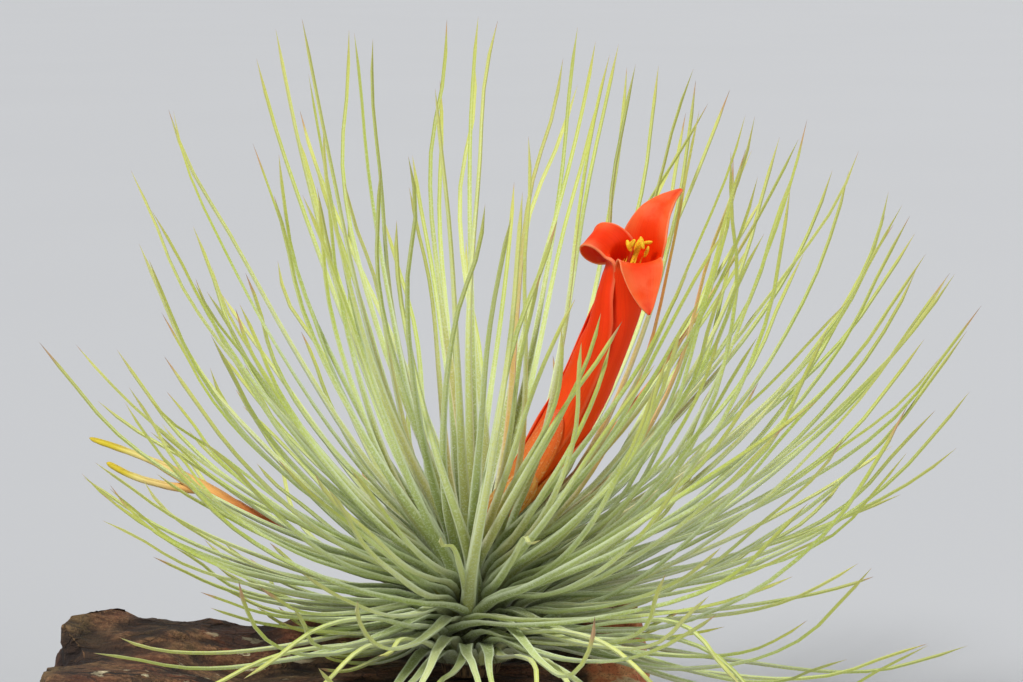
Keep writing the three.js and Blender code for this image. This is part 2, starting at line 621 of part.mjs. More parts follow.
// A filament that follows the tube and ends past its mouth in an anther or a stigma.
function thread(turn, ring, past, endSize, radius) {
  const points = [0, 0.3, 0.6, 0.85, 1].map((share) => {
    const frame = flowerFrame(THREE.MathUtils.lerp(TUBE_SHARE, 1, share));
    return frame.centre.addScaledVector(around(frame, turn), ring * (1 + THREAD_OPENING * share));
  });
  const mouth = flowerFrame(1);
  points.push(points[4].clone().addScaledVector(mouth.along, past));
  const filament = solidOf(tube(new THREE.CatmullRomCurve3(points), () => radius, 8, 4));
  const end = new THREE.SphereGeometry(1, 6, 4).scale(...endSize);
  end.applyQuaternion(new THREE.Quaternion().setFromUnitVectors(new THREE.Vector3(0, 0, 1), mouth.along));
  end.translate(...points[5].toArray());
  return filament.add(solidOf(end));
}

function stalkSolid() {
  const points = [0, 0.35, 0.7, 1].map((share) => flowerPath.getPointAt(share * STALK_SHARE));
  const radius = (t) => THREE.MathUtils.lerp(...STALK_RADIUS, t);
  return solidOf(tube(new THREE.CatmullRomCurve3(points), radius, 4, 10));
}

// ---------- spent flower ----------

// The withered flower of an earlier bloom, at the left behind the leaves: a thin stalk and two blunt lobes.
function spentFlower(slot) {
  const at = (x, u, d) => CROWN_CENTRE.clone().add(seen(x, u, d));
  const foot = slot.root.clone().addScaledVector(slot.out, SHEATH_THICKNESS / 2 + CLEARANCE);
  const fork = at(-62, 32, -43);
  const upper = new THREE.CatmullRomCurve3([
    foot, foot.clone().addScaledVector(slot.out, 9), at(-32, 17, -27), fork,
    at(-75, 39, -46), at(-89, 44, -50),
  ]);
  const lower = new THREE.CatmullRomCurve3([fork, at(-70, 33, -46), at(-78, 34.5, -48), at(-85, 38, -49)]);
  const swell = (t) => 0.7 + 1.5 * Math.exp(-(((t - 0.75) / 0.13) ** 2)) + 0.3 * t;
  const lobe = solidOf(tube(lower, (t) => 1.5 - 0.4 * t, 6, 7));
  return solidOf(tube(upper, swell, 16, 7)).add(lobe);
}

// ---------- the plant put together ----------

const plant = new THREE.Group();

function addPiece(name, solid, color, roughness) {
  const material = new THREE.MeshStandardMaterial({ color, roughness, metalness: 0 });
  const mesh = new THREE.Mesh(geometryOf(solid), material);
  mesh.name = name;
  plant.add(mesh);
  return solid;
}

addPiece('bark_mount', barkPiece(), 0x6b3a22, 0.95);
addPiece('stem', stemPiece(), 0x6f6a48, 0.9);
addPiece('flower_stalk', stalkSolid(), 0xc9cf8c, 0.7);
const bractOffset = 2 * CLEARANCE + SEPAL_THICKNESS;
const bract = wrappedShell(200 * DEG, 0.07, 0.3, 62 * DEG, bractOffset, BRACT_THICKNESS);
addPiece('flower_bract', bract, 0xc9a06a, 0.75);
for (const [i, side] of ['back', 'right', 'left'].entries()) {
  const sepal = wrappedShell((105 + 120 * i) * DEG, TUBE_SHARE, 0.5, 54 * DEG, CLEARANCE, SEPAL_THICKNESS);
  addPiece(`sepal_${side}`, sepal, 0xe0641c, 0.6);
}
for (const petal of PETALS) {
  addPiece(petal.name, petalSolid(petal), 0xf4431c, 0.55);
}
for (let i = 0; i < STAMEN.count; i += 1) {
  const turn = (i * 2 * Math.PI) / STAMEN.count;
  const past = THREE.MathUtils.lerp(...STAMEN.past, (i * 0.618) % 1);
  addPiece(`stamen_${i + 1}`, thread(turn, STAMEN.ring, past, STAMEN.anther, STAMEN.radius), 0xf2b81c, 0.6);
}
addPiece('pistil', thread(0, 0, PISTIL.past, PISTIL.stigma, PISTIL.radius), 0xe9c04a, 0.6);

for (const mesh of plant.children) {
  const solid = solidOf(mesh.geometry);
  obstacles.push({ solid, box: solid.boundingBox() });
}
const opening = solidOf(skinned(PETAL_OPENING.depths.map((depth) => {
  const scale = 1 - depth / VIEWER_DISTANCE;
  return PETAL_OPENING.outline.map(([x, u]) => CROWN_CENTRE.clone().add(seen(x * scale, u * scale, depth)));
})));
obstacles.push({ solid: opening, box: opening.boundingBox() });

for (const tip of CURLED_TIPS) {
  growTo(tip, 'curled');
}
for (const tip of UPTURNED_TIPS) {
  growTo(tip, 'upturned');
}
const spentSlot = nearestSlots(seen(-32, 12, -27).normalize())[0];
spentSlot.taken = true;
const spent = addPiece('spent_flower', spentFlower(spentSlot), 0xb5672a, 0.85);
obstacles.push({ solid: spent, box: spent.boundingBox() });

for (const tip of OUTLINE_TIPS) {
  growTo(tip, 'plain');
}
for (const slot of slots.filter((each) => !each.taken)) {
  growBetween(slot);
}

for (let tier = 0; tier < TIER_COUNT; tier += 1) {
  sheathHalves(tier).forEach((sheath, half) => {
    const own = blades.filter(({ slot }) => slot.tier === tier && slot.half === half);
    const whole = own.reduce((sum, blade) => sum.add(blade.solid), sheath);
    addPiece(`leaves_tier_${String(tier + 1).padStart(2, '0')}_${'ab'[half]}`, whole, 0xb9cf8e, 0.8);
  });
}

export default plant;
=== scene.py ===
"""Air plant in flower on a piece of bark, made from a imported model: leaves, flower, withered bloom and bark.

Lengths are metres and the front faces -Y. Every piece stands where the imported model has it.
"""

import bmesh
import bpy
import math
import random
from mathutils import Matrix, Vector


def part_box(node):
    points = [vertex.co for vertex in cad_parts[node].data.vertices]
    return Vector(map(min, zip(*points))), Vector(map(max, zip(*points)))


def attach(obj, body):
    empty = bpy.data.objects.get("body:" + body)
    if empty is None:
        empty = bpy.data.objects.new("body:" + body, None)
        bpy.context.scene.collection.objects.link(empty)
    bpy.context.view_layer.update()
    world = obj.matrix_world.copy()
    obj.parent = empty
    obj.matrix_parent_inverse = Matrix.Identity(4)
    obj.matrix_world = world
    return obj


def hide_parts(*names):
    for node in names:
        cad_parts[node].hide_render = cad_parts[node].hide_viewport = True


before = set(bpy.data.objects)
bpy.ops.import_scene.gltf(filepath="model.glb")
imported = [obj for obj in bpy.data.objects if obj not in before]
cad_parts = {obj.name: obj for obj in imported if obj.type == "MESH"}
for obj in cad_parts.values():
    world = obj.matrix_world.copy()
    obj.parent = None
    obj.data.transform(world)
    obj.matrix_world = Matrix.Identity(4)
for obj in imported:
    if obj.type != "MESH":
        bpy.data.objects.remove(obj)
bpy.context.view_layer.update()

bl_info = {
    "name": "Air Plant in Flower",
    "version": (1, 0, 0),
    "blender": (4, 5, 0),
    "location": "3D View > Sidebar > Air plant",
    "description": "Grows a pincushion air plant with a trumpet flower on a piece of bark",
    "category": "Add Mesh",
}

BODY = "root"
MM = 0.001


# ---------- places ----------

VIEW_TILT = math.radians(14)  # the viewer's height over the plant
SHEATH_DEPTH = 1.6 * MM  # from the outside of the leaf sheaths in to the stem
CROWN_HEIGHT = 18 * MM  # of the leafy dome over its middle
UP = Vector((0, 0, 1))


def crown():
    """Middle of the leafy dome and its radius, worked out from the stem inside it."""
    low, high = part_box("stem")
    radius = max(high.x - low.x, high.y - low.y) / 2 + SHEATH_DEPTH
    return Vector((0, 0, high.z + SHEATH_DEPTH - CROWN_HEIGHT)), radius


CROWN_CENTRE, CROWN_RADIUS = crown()


def seen(across, up, towards):
    """A point given in millimetres from the crown's middle: across, up and towards the viewer."""
    return CROWN_CENTRE + MM * Vector((
        across,
        up * math.sin(VIEW_TILT) - towards * math.cos(VIEW_TILT),
        up * math.cos(VIEW_TILT) + towards * math.sin(VIEW_TILT),
    ))


def smoothstep(value, low, high):
    """0 below low, 1 above high and a soft rise between them."""
    share = min(max((value - low) / (high - low), 0), 1)
    return share * share * (3 - 2 * share)


def lerp(low, high, share):
    """The number that lies so far from low to high."""
    return low + (high - low) * share


def tone(red, green, blue):
    """A colour as a picture editor gives it, 0 to 255, as linear light."""
    def linear(value):
        value /= 255
        return value / 12.92 if value <= 0.04045 else ((value + 0.055) / 1.055) ** 2.4
    return (linear(red), linear(green), linear(blue), 1)


# ---------- settings ----------

def length(name, description, default):
    """A length in the settings."""
    return bpy.props.FloatProperty(
        name=name, description=description, default=default, unit="LENGTH", precision=4)


def amount(name, description, default):
    """A plain number in the settings."""
    return bpy.props.FloatProperty(name=name, description=description, default=default, min=0)


def colour(name, description, default):
    """A colour in the settings."""
    return bpy.props.FloatVectorProperty(
        name=name, description=description, default=default, size=4, subtype="COLOR", min=0, max=1)


class AIRPLANT_PG_leaves(bpy.types.PropertyGroup):
    """Sizes and colours of the leaves"""
    base_width: length("Base width", "Width of an outer leaf where it leaves the crown", 3.7 * MM)
    base_depth: length("Base depth", "Thickness of an outer leaf at its base", 1.5 * MM)
    tip_width: length("Tip width", "Width of a leaf just before its point", 0.9 * MM)
    seed: bpy.props.IntProperty(name="Seed", description="Start of the leaves' random draws", default=5)
    base: colour("Base", "Olive of the broad bases", tone(140, 153, 86))
    middle: colour("Middle", "Silvery green at half length", tone(214, 228, 134))
    outer: colour("Outer", "Lime green of the upper lengths", tone(194, 209, 74))
    scurf: colour("Scurf", "Pale scales that frost the leaves", tone(226, 236, 204))
    flush: colour("Flush", "Orange flush beside the flower", tone(250, 146, 56))
    dry: colour("Dry tip", "Withered leaf tips", tone(200, 158, 106))


class AIRPLANT_PG_flower(bpy.types.PropertyGroup):
    """Sizes and colours of the flower"""
    foot_radius: length("Foot radius", "Radius of the petal tube at its foot", 2.3 * MM)
    mouth_radius: length("Mouth radius", "Radius of the petal tube at its mouth", 5.2 * MM)
    petal_thickness: length("Petal thickness", "Thickness of a petal and of the bract", 0.5 * MM)
    sepal_thickness: length("Sepal thickness", "Thickness of a sepal", 0.6 * MM)
    tube: colour("Tube", "Vermilion of the tube and the throat", tone(244, 56, 0))
    blade: colour("Blade", "Red of the open blades along their middle", tone(238, 72, 8))
    side: colour("Side", "Coral of the open blades beside their middle", tone(240, 96, 40))
    bloom: colour("Bloom", "Pink bloom in soft patches on the open blades", tone(246, 114, 70))
    margin: colour("Margin", "Pale edges of the petals", tone(250, 146, 100))
    sepal: colour("Sepal", "Orange of the sepals", tone(232, 106, 28))
    pollen: colour("Pollen", "Golden anthers", tone(255, 218, 30))


class AIRPLANT_PG_bark(bpy.types.PropertyGroup):
    """Sizes and colours of the bark"""
    grain: length("Grain", "Spacing of the points on the bark's surface", 0.85 * MM)
    relief: length("Relief", "Depth of the bark's lumps", 2.4 * MM)
    brown: colour("Brown", "Brown of the bark", tone(122, 84, 56))
    tan: colour("Tan", "Cork at the cut end", tone(228, 162, 114))
    # This colour is also used for the painted shade in the bark's hollows.
    shade: colour("Shade", "Dark cracks", tone(34, 22, 16))
    flake: colour("Flake", "Cream flakes towards the left end", tone(226, 210, 170))


class AIRPLANT_PG_stage(bpy.types.PropertyGroup):
    """The floor, the lights and the camera"""
    floor: colour("Floor", "Plain pale floor", tone(186, 187, 189))
    key: amount("Key", "Strength of the main light", 2.7)
    fill: amount("Fill", "Strength of the fill light", 0.75)
    rim: amount("Rim", "Strength of the light behind", 0.7)
    sky: amount("Sky", "Strength of the even light all round", 0.32)
    distance: length("Camera distance", "From the camera to the crown", 0.63)
    lens: amount("Lens", "Focal length in millimetres", 100.8)


# ---------- work on the selection ----------

WELD = 0.02 * MM  # corners closer than this are joined
ON_ROW = 1e-4  # how near a row of a straight piece, one metre long, its corners lie
UPRIGHT = Vector((0, 1, 0))  # the direction across a piece that has no side of its own


def only(piece):
    """Makes a piece the one selected and active object."""
    bpy.ops.object.select_all(action="DESELECT")
    piece.select_set(True)
    bpy.context.view_layer.objects.active = piece


def add_primitive(operator, name, **options):
    """Adds a primitive by its operator, with nothing else selected, and names it."""
    bpy.ops.object.select_all(action="DESELECT")
    operator(**options)
    piece = bpy.context.object
    piece.name = piece.data.name = name
    return piece


def copied(piece):
    """A copy of a piece with a mesh of its own."""
    twin = piece.copy()
    twin.data = piece.data.copy()
    bpy.context.scene.collection.objects.link(twin)
    return twin


def edit(piece):
    """Goes into edit mode on one piece."""
    only(piece)
    bpy.ops.object.mode_set(mode="EDIT")
    bpy.ops.mesh.select_mode(type="VERT")


def leave_edit():
    """Goes back to object mode."""
    bpy.ops.object.mode_set(mode="OBJECT")


def pick_all():
    """In edit mode, selects everything."""
    bpy.ops.mesh.select_all(action="SELECT")


def pick(piece, test):
    """In edit mode, selects the corners whose place passes a test."""
    bpy.ops.mesh.select_all(action="DESELECT")
    shape = bmesh.from_edit_mesh(piece.data)
    for corner in shape.verts:
        if test(corner.co):
            corner.select_set(True)
    shape.select_flush_mode()
    bmesh.update_edit_mesh(piece.data)


def pick_near(piece, spot, reach=1e-6):
    """In edit mode, selects the corners within reach of a spot."""
    pick(piece, lambda place: (place - spot).length < reach)


def move_by(way):
    """In edit mode, moves what is selected."""
    bpy.ops.transform.translate(value=way)


def rescale(factors, centre=(0, 0, 0)):
    """In edit mode, scales what is selected on the three axes, about a centre."""
    bpy.ops.transform.resize(value=factors, center_override=centre)


def face_out():
    """In edit mode, turns all faces outwards, and goes back to object mode."""
    pick_all()
    bpy.ops.mesh.normals_make_consistent(inside=False)
    leave_edit()


def apply_modifier(piece, kind, **settings):
    """Adds a modifier with these settings and applies it."""
    only(piece)
    modifier = piece.modifiers.new(kind.title(), kind)
    for key, value in settings.items():
        setattr(modifier, key, value)
    bpy.ops.object.modifier_apply(modifier=modifier.name)


def subdivide(piece, levels):
    """Rounds a piece by subdivision."""
    apply_modifier(piece, "SUBSURF", levels=levels, render_levels=levels)


def displace(piece, kind, size, strength, stretch=(1, 1, 1), middle=0.5, **settings):
    """Moves the surface in and out by random lumps of this size, which are stretched along the axes."""
    texture = bpy.data.textures.new("lumps", kind)
    texture.noise_scale = 1
    for key, value in settings.items():
        setattr(texture, key, value)
    gauge = bpy.data.objects.new("gauge", None)
    bpy.context.scene.collection.objects.link(gauge)
    gauge.scale = [size * axis for axis in stretch]
    bpy.context.view_layer.update()
    apply_modifier(piece, "DISPLACE", texture=texture, texture_coords="OBJECT", texture_coords_object=gauge,
                   strength=strength, mid_level=middle)
    bpy.data.objects.remove(gauge)
    bpy.data.textures.remove(texture)


def join(name, pieces):
    """Joins pieces into the first of them and names the result."""
    only(pieces[0])
    for piece in pieces:
        piece.select_set(True)
    bpy.ops.object.join()
    pieces[0].name = pieces[0].data.name = name
    return pieces[0]


def smooth(piece, degrees):
    """Shades a piece smooth, with its edges over an angle kept sharp."""
    only(piece)
    bpy.ops.object.shade_smooth_by_angle(angle=math.radians(degrees))


def store(piece, name, values):
    """Stores a number on each corner of a piece: one each, or the same for all."""
    if not isinstance(values, list):
        values = [values] * len(piece.data.vertices)
    piece.data.attributes.new(name, "FLOAT", "POINT").data.foreach_set("value", values)


def merged_copy(node, name):
    """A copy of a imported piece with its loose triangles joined, for shaping."""
    piece = copied(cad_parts[node])
    piece.parent = None
    piece.name = piece.data.name = name
    for key in list(piece.keys()):
        del piece[key]
    edit(piece)
    pick_all()
    bpy.ops.mesh.remove_doubles(threshold=WELD)
    leave_edit()
    return piece


def finish_piece(piece, material, slot, *nodes):
    """Gives a piece its material, hangs it on the plant's body and hides the imported parts it stands for."""
    piece.data.materials.clear()
    piece.data.materials.append(material)
    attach(piece, BODY)
    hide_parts(*nodes)


# ---------- swept shapes ----------

MAP = "length_width"  # a swept piece's map


def grow_rows(rows):
    """In edit mode, extrudes the selected end of a piece along +X, row after row.

    A row starts with (place along X, scale in Y, scale in Z), and the first one is the end that is there.
    """
    for before, row in zip(rows, rows[1:]):
        bpy.ops.mesh.extrude_region_move(TRANSFORM_OT_translate={"value": (row[0] - before[0], 0, 0)})
        rescale((1, row[1] / before[1], row[2] / before[2]), (row[0], 0, 0))


def turn_rows(piece, rows):
    """Turns each row of a straight piece about X: a row is (place along X, two scales, turn)."""
    edit(piece)
    for place, _, _, turn in rows:
        if turn:
            pick(piece, lambda corner: abs(corner.x - place) < ON_ROW)
            bpy.ops.transform.rotate(value=-turn, orient_axis="X", center_override=(place, 0, 0))
    leave_edit()


def lay_map(piece):
    """Gives a straight piece a map: its share of the length along +X, and of the width along Z."""
    widest = {}
    for corner in piece.data.vertices:
        key = round(corner.co.x, 7)
        low, high = widest.get(key, (0, 0))
        widest[key] = (min(low, corner.co.z), max(high, corner.co.z))
    total = max(widest) or 1
    layer = piece.data.uv_layers.new(name=MAP)
    for loop in piece.data.loops:
        place = piece.data.vertices[loop.vertex_index].co
        low, high = widest[round(place.x, 7)]
        across = (place.z - low) / (high - low) if high - low > 1e-7 else 0.5
        layer.data[loop.index].uv = (place.x / total, across)


def bend_along(piece, points, across):
    """Bends a straight piece along a smooth line through points, its width along the across direction."""
    side = across.normalized()
    ahead = points[-1] - points[0]
    ahead = (ahead - side * ahead.dot(side)).normalized()
    turn = Matrix((ahead, side.cross(ahead), side)).transposed()
    line = bpy.data.curves.new("route", "CURVE")
    line.dimensions = "3D"
    line.twist_mode = "Z_UP"
    line.use_stretch = True
    line.use_deform_bounds = True
    line.resolution_u = 16
    spline = line.splines.new("BEZIER")
    spline.bezier_points.add(len(points) - 1)
    for knot, point in zip(spline.bezier_points, points):
        knot.co = turn.transposed() @ point
        knot.handle_left_type = knot.handle_right_type = "AUTO"
    route = bpy.data.objects.new("route", line)
    bpy.context.scene.collection.objects.link(route)
    apply_modifier(piece, "CURVE", object=route, deform_axis="POS_X")
    bpy.data.objects.remove(route)
    bpy.data.curves.remove(line)
    piece.data.transform(turn.to_4x4())


def flat_disc(name, sides):
    """A flat disc of one face, in X and Y."""
    return add_primitive(bpy.ops.mesh.primitive_circle_add, name, vertices=sides, radius=1, fill_type="NGON")


def swept_tube(name, sides, rows, points, across):
    """A round piece along a line, closed at its end. A row is (share of the length, radius in mm)."""
    tube = flat_disc(name, sides)
    edit(tube)
    pick_all()
    bpy.ops.transform.rotate(value=math.pi / 2, orient_axis="Y", center_override=(0, 0, 0))
    rows = [(share, radius * MM, radius * MM) for share, radius in rows]
    rescale((1, *rows[0][1:]))
    grow_rows(rows)
    bpy.ops.mesh.merge(type="CENTER")
    face_out()
    lay_map(tube)
    bend_along(tube, points, across)
    return tube


def swept_sheet(name, columns, half_angle, rows, points, across, thickness):
    """A thin piece along a line: an arc of points extruded row by row, then bent and given its wall.

    A row is (share of the length, scale of the arc's rise, scale of its width, turn about the line).
    """
    sheet = add_primitive(bpy.ops.mesh.primitive_plane_add, name, size=1)
    edit(sheet)
    pick(sheet, lambda place: place.x + place.y > -0.9)
    bpy.ops.mesh.delete(type="VERT")
    pick_all()
    start = Vector((0, math.cos(half_angle) - 1, math.sin(half_angle)))
    move_by(start - Vector((-0.5, -0.5, 0)))
    bpy.ops.mesh.spin(steps=columns, angle=2 * half_angle, center=(0, -1, 0), axis=(1, 0, 0))
    pick_all()
    rescale((1, rows[0][1], rows[0][2]))
    grow_rows(rows)
    face_out()
    lay_map(sheet)
    turn_rows(sheet, rows)
    bend_along(sheet, points, across)
    apply_modifier(sheet, "SOLIDIFY", thickness=thickness, offset=0, use_even_offset=True)
    subdivide(sheet, 1)
    edit(sheet)
    face_out()
    smooth(sheet, 70)
    return sheet


# ---------- materials ----------

class Paint:
    """A material under way: its nodes, and the colour laid on so far."""

    def __init__(self, name, **sockets):
        """Starts a material whose shader has these even values on its own sockets."""
        self.material = bpy.data.materials.new(name)
        self.material.use_nodes = True
        self.tree = self.material.node_tree
        self.shader = self.tree.nodes["Principled BSDF"]
        self.shade = None
        for key, value in sockets.items():
            self.shader.inputs[key.replace("_", " ").title().replace("Ior", "IOR")].default_value = value

    def node(self, kind, values=None, **settings):
        """Adds a node: settings are its own properties, values its inputs by name or number."""
        node = self.tree.nodes.new(kind)
        for key, value in settings.items():
            setattr(node, key, value)
        for key, value in (values or {}).items():
            if isinstance(value, bpy.types.NodeSocket):
                self.tree.links.new(value, node.inputs[key])
            else:
                node.inputs[key].default_value = value
        return node

    def place(self, stretch=(1, 1, 1), turn=(0, 0, 0)):
        """Places on the object, stretched and turned."""
        place = self.node("ShaderNodeTexCoord").outputs["Object"]
        values = {"Vector": place, "Scale": stretch, "Rotation": turn}
        return self.node("ShaderNodeMapping", values).outputs[0]

    def on_map(self, stretch):
        """Places on the piece's own map of length and width, stretched."""
        place = self.node("ShaderNodeUVMap", uv_map=MAP).outputs[0]
        return self.node("ShaderNodeMapping", {"Vector": place, "Scale": stretch}).outputs[0]

    def part(self, place, axis):
        """One of a place's three numbers."""
        return self.node("ShaderNodeSeparateXYZ", {0: place}).outputs[axis]

    def along(self):
        """The share of the piece's length."""
        return self.part(self.node("ShaderNodeUVMap", uv_map=MAP).outputs[0], 0)

    def off_middle(self):
        """How far aside of the middle, from 0 there to 0.5 at the edges."""
        across = self.part(self.node("ShaderNodeUVMap", uv_map=MAP).outputs[0], 1)
        return self.reckon("ABSOLUTE", self.reckon("SUBTRACT", across, 0.5))

    def stored(self, name):
        """A number stored on the piece's corners."""
        return self.node("ShaderNodeAttribute", attribute_name=name).outputs["Fac"]

    def noise(self, place, scale, detail=3, roughness=0.5):
        """Soft random patches, 0 to 1."""
        values = {"Vector": place, "Scale": scale, "Detail": detail, "Roughness": roughness}
        return self.node("ShaderNodeTexNoise", values).outputs["Fac"]

    def cracks(self, place, scale, width, warp):
        """Lines of a crackled surface, 1 in the line: warp bends them by this much."""
        drift = self.node("ShaderNodeTexNoise", {"Vector": place, "Scale": 1.7 * scale, "Detail": 3})
        values = {0: drift.outputs["Color"], 1: (warp, warp, warp), 2: place}
        bent = self.node("ShaderNodeVectorMath", values, operation="MULTIPLY_ADD").outputs[0]
        values = {"Vector": bent, "Scale": scale}
        cells = self.node("ShaderNodeTexVoronoi", values, feature="DISTANCE_TO_EDGE")
        return self.span(cells.outputs["Distance"], width, 0.2 * width)

    def reckon(self, operation, first, second=0.0):
        """What an operation makes of two numbers."""
        return self.node("ShaderNodeMath", {0: first, 1: second}, operation=operation).outputs[0]

    def times(self, first, *others):
        """The product of some numbers."""
        for other in others:
            first = self.reckon("MULTIPLY", first, other)
        return first

    def span(self, value, low, high, to_low=0.0, to_high=1.0):
        """Stretches a value softly from one span to another, and keeps it inside."""
        values = {"Value": value, "From Min": low, "From Max": high, "To Min": to_low, "To Max": to_high}
        return self.node("ShaderNodeMapRange", values, interpolation_type="SMOOTHSTEP").outputs[0]

    def blend(self, share, first, second):
        """Two colours mixed by a share."""
        return self.node("ShaderNodeMix", {0: share, 6: first, 7: second}, data_type="RGBA").outputs[2]

    def ground(self, value, stops):
        """Lays the first colour: one for each value, between stops of (place, colour)."""
        node = self.node("ShaderNodeValToRGB", {0: value})
        elements = node.color_ramp.elements
        while len(elements) < len(stops):
            elements.new(0.5)
        for element, (place, shade) in zip(elements, stops):
            element.position = place
            element.color = shade
        self.shade = node.outputs[0]

    def coat(self, share, shade):
        """Lays a colour over the others by a share."""
        self.shade = self.blend(share, self.shade, shade)

    def roughen(self, height, distance, strength):
        """Gives the surface small relief, from a height."""
        relief = self.node("ShaderNodeBump", {"Height": height, "Distance": distance, "Strength": strength})
        self.tree.links.new(relief.outputs[0], self.shader.inputs["Normal"])

    def finish(self):
        """The material, with the colours that were laid."""
        self.tree.links.new(self.shade, self.shader.inputs["Base Color"])
        return self.material


def leaf_material(leaves):
    """Silvery green with frosted edges partly brightened as painted rim light, scurf, painted shade at the
    roots, orange beside the flower, dry at the tips.
    """
    paint = Paint("leaf_green", roughness=0.7, sheen_weight=0.35, sheen_roughness=0.5)
    along, off_middle, place = paint.along(), paint.off_middle(), paint.place()
    # The first two stops, dark brown at each leaf's root, are painted shade in the gaps between the leaf
    # bases.
    paint.ground(along, [
        (0.0, tone(44, 36, 22)), (0.03, tone(80, 76, 46)), (0.085, leaves.base), (0.2, tone(158, 174, 98)),
        (0.38, tone(196, 212, 124)), (0.52, leaves.middle), (0.72, leaves.outer),
        (0.93, tone(204, 206, 84)), (1.0, tone(198, 182, 98)),
    ])
    own_tone = paint.stored("leaf_tone")
    paint.coat(paint.span(own_tone, 0.0, 0.5, 0.4, 0.0), tone(146, 164, 66))
    paint.coat(paint.span(own_tone, 0.5, 1.0, 0.0, 0.45), tone(236, 234, 138))
    paint.coat(paint.span(paint.noise(place, 90, 2), 0.35, 0.7, 0.0, 0.28), tone(160, 172, 76))
    # Pale edges over the lower half of each leaf: partly the scales' own frosting and partly painted rim
    # light.
    frosted_and_rim_lit_edge = paint.times(
        paint.span(off_middle, 0.28, 0.47, 0.0, 0.75), paint.span(along, 0.02, 0.12, 0.15, 1.0),
        paint.span(along, 0.4, 0.75, 1.0, 0.1))
    paint.coat(frosted_and_rim_lit_edge, leaves.scurf)
    channel = paint.times(
        paint.span(off_middle, 0.1, 0.3, 0.45, 0.0), paint.span(along, 0.3, 0.55),
        paint.span(along, 0.8, 0.97, 1.0, 0.2))
    paint.coat(channel, tone(236, 240, 176))
    scales = paint.noise(place, 2300, 3, 0.75)
    scurf = paint.times(
        paint.span(scales, 0.49, 0.62, 0.0, 0.55), paint.span(along, 0.5, 0.9, 1.0, 0.25),
        paint.span(along, 0.02, 0.12, 0.3, 1.0))
    paint.coat(scurf, leaves.scurf)
    flush = paint.times(
        paint.stored("leaf_flush"), paint.span(along, 0.1, 0.4),
        paint.span(paint.noise(place, 140, 2), 0.3, 0.65, 0.6, 1.0))
    paint.coat(flush, leaves.flush)
    from_tip = paint.reckon("DIVIDE", paint.reckon("SUBTRACT", 1.0, along), paint.stored("leaf_dry"))
    paint.coat(paint.span(from_tip, 0.55, 1.15, 1.0, 0.0), leaves.dry)
    paint.coat(paint.span(from_tip, 0.05, 0.45, 0.75, 0.0), tone(116, 78, 52))
    paint.roughen(scales, 0.25 * MM, 0.8)
    return paint.finish()


def petal_material(flower):
    """Vermilion tube, coral blades with pale edges, fine veins and a pink bloom."""
    paint = Paint("petal_coral", roughness=0.55, specular_ior_level=0.18, subsurface_weight=0.3,
                  subsurface_scale=1.2 * MM, subsurface_radius=(1, 0.35, 0.15))
    along, off_middle = paint.along(), paint.off_middle()
    paint.ground(along, [
        (0.0, tone(232, 122, 30)), (0.3, tone(236, 78, 10)), (0.6, flower.tube), (0.84, flower.tube),
        (0.95, flower.blade), (1.0, tone(214, 40, 14)),
    ])
    veins = paint.noise(paint.on_map((2.2, 34, 1)), 1.0, 2)
    paint.coat(paint.span(veins, 0.4, 0.66, 0.0, 0.3), tone(220, 36, 0))
    beside = paint.times(paint.span(off_middle, 0.12, 0.46, 0.0, 0.9), paint.span(along, 0.8, 0.86))
    paint.coat(beside, flower.side)
    patches = paint.noise(paint.place(), 230, 3)
    bloom = paint.times(paint.span(patches, 0.38, 0.64, 0.0, 0.5), paint.span(along, 0.84, 0.92))
    paint.coat(bloom, flower.bloom)
    edge = paint.times(paint.span(off_middle, 0.452, 0.5, 0.0, 0.7), paint.span(along, 0.6, 0.8, 0.4, 1.0))
    paint.coat(edge, flower.margin)
    paint.roughen(veins, 0.15 * MM, 0.5)
    return paint.finish()


def sepal_material(flower):
    """Orange with green-yellow foot and fine ribs."""
    paint = Paint("sepal_orange", roughness=0.5, subsurface_weight=0.12, subsurface_scale=1 * MM)
    paint.ground(paint.along(), [
        (0.0, tone(196, 176, 84)), (0.3, tone(222, 140, 52)), (0.7, flower.sepal), (1.0, tone(226, 84, 24)),
    ])
    ribs = paint.noise(paint.on_map((2, 26, 1)), 1.0, 2)
    paint.coat(paint.span(ribs, 0.4, 0.65, 0.0, 0.4), tone(206, 74, 18))
    paint.coat(paint.span(paint.noise(paint.place(), 2200, 2), 0.55, 0.7, 0.0, 0.3), tone(244, 216, 160))
    paint.roughen(ribs, 0.2 * MM, 0.6)
    return paint.finish()


def papery_material(name, light, dark, roughness):
    """A dry, ribbed skin in two tones with scurf."""
    paint = Paint(name, roughness=roughness)
    ribs = paint.noise(paint.on_map((3, 22, 1)), 1.0, 3)
    paint.shade = paint.blend(paint.span(ribs, 0.35, 0.68), light, dark)
    paint.coat(paint.span(paint.noise(paint.place(), 1900, 2), 0.52, 0.68, 0.0, 0.45), tone(232, 226, 196))
    paint.roughen(ribs, 0.25 * MM, 0.7)
    return paint.finish()


def anther_material(flower):
    """Golden yellow and granular with pollen."""
    paint = Paint("anther_gold", roughness=0.6, subsurface_weight=0.1, subsurface_scale=0.5 * MM)
    grains = paint.noise(paint.place(), 3400, 2, 0.7)
    paint.shade = paint.blend(paint.span(grains, 0.36, 0.62), tone(240, 160, 8), flower.pollen)
    paint.roughen(grains, 0.2 * MM, 0.9)
    return paint.finish()


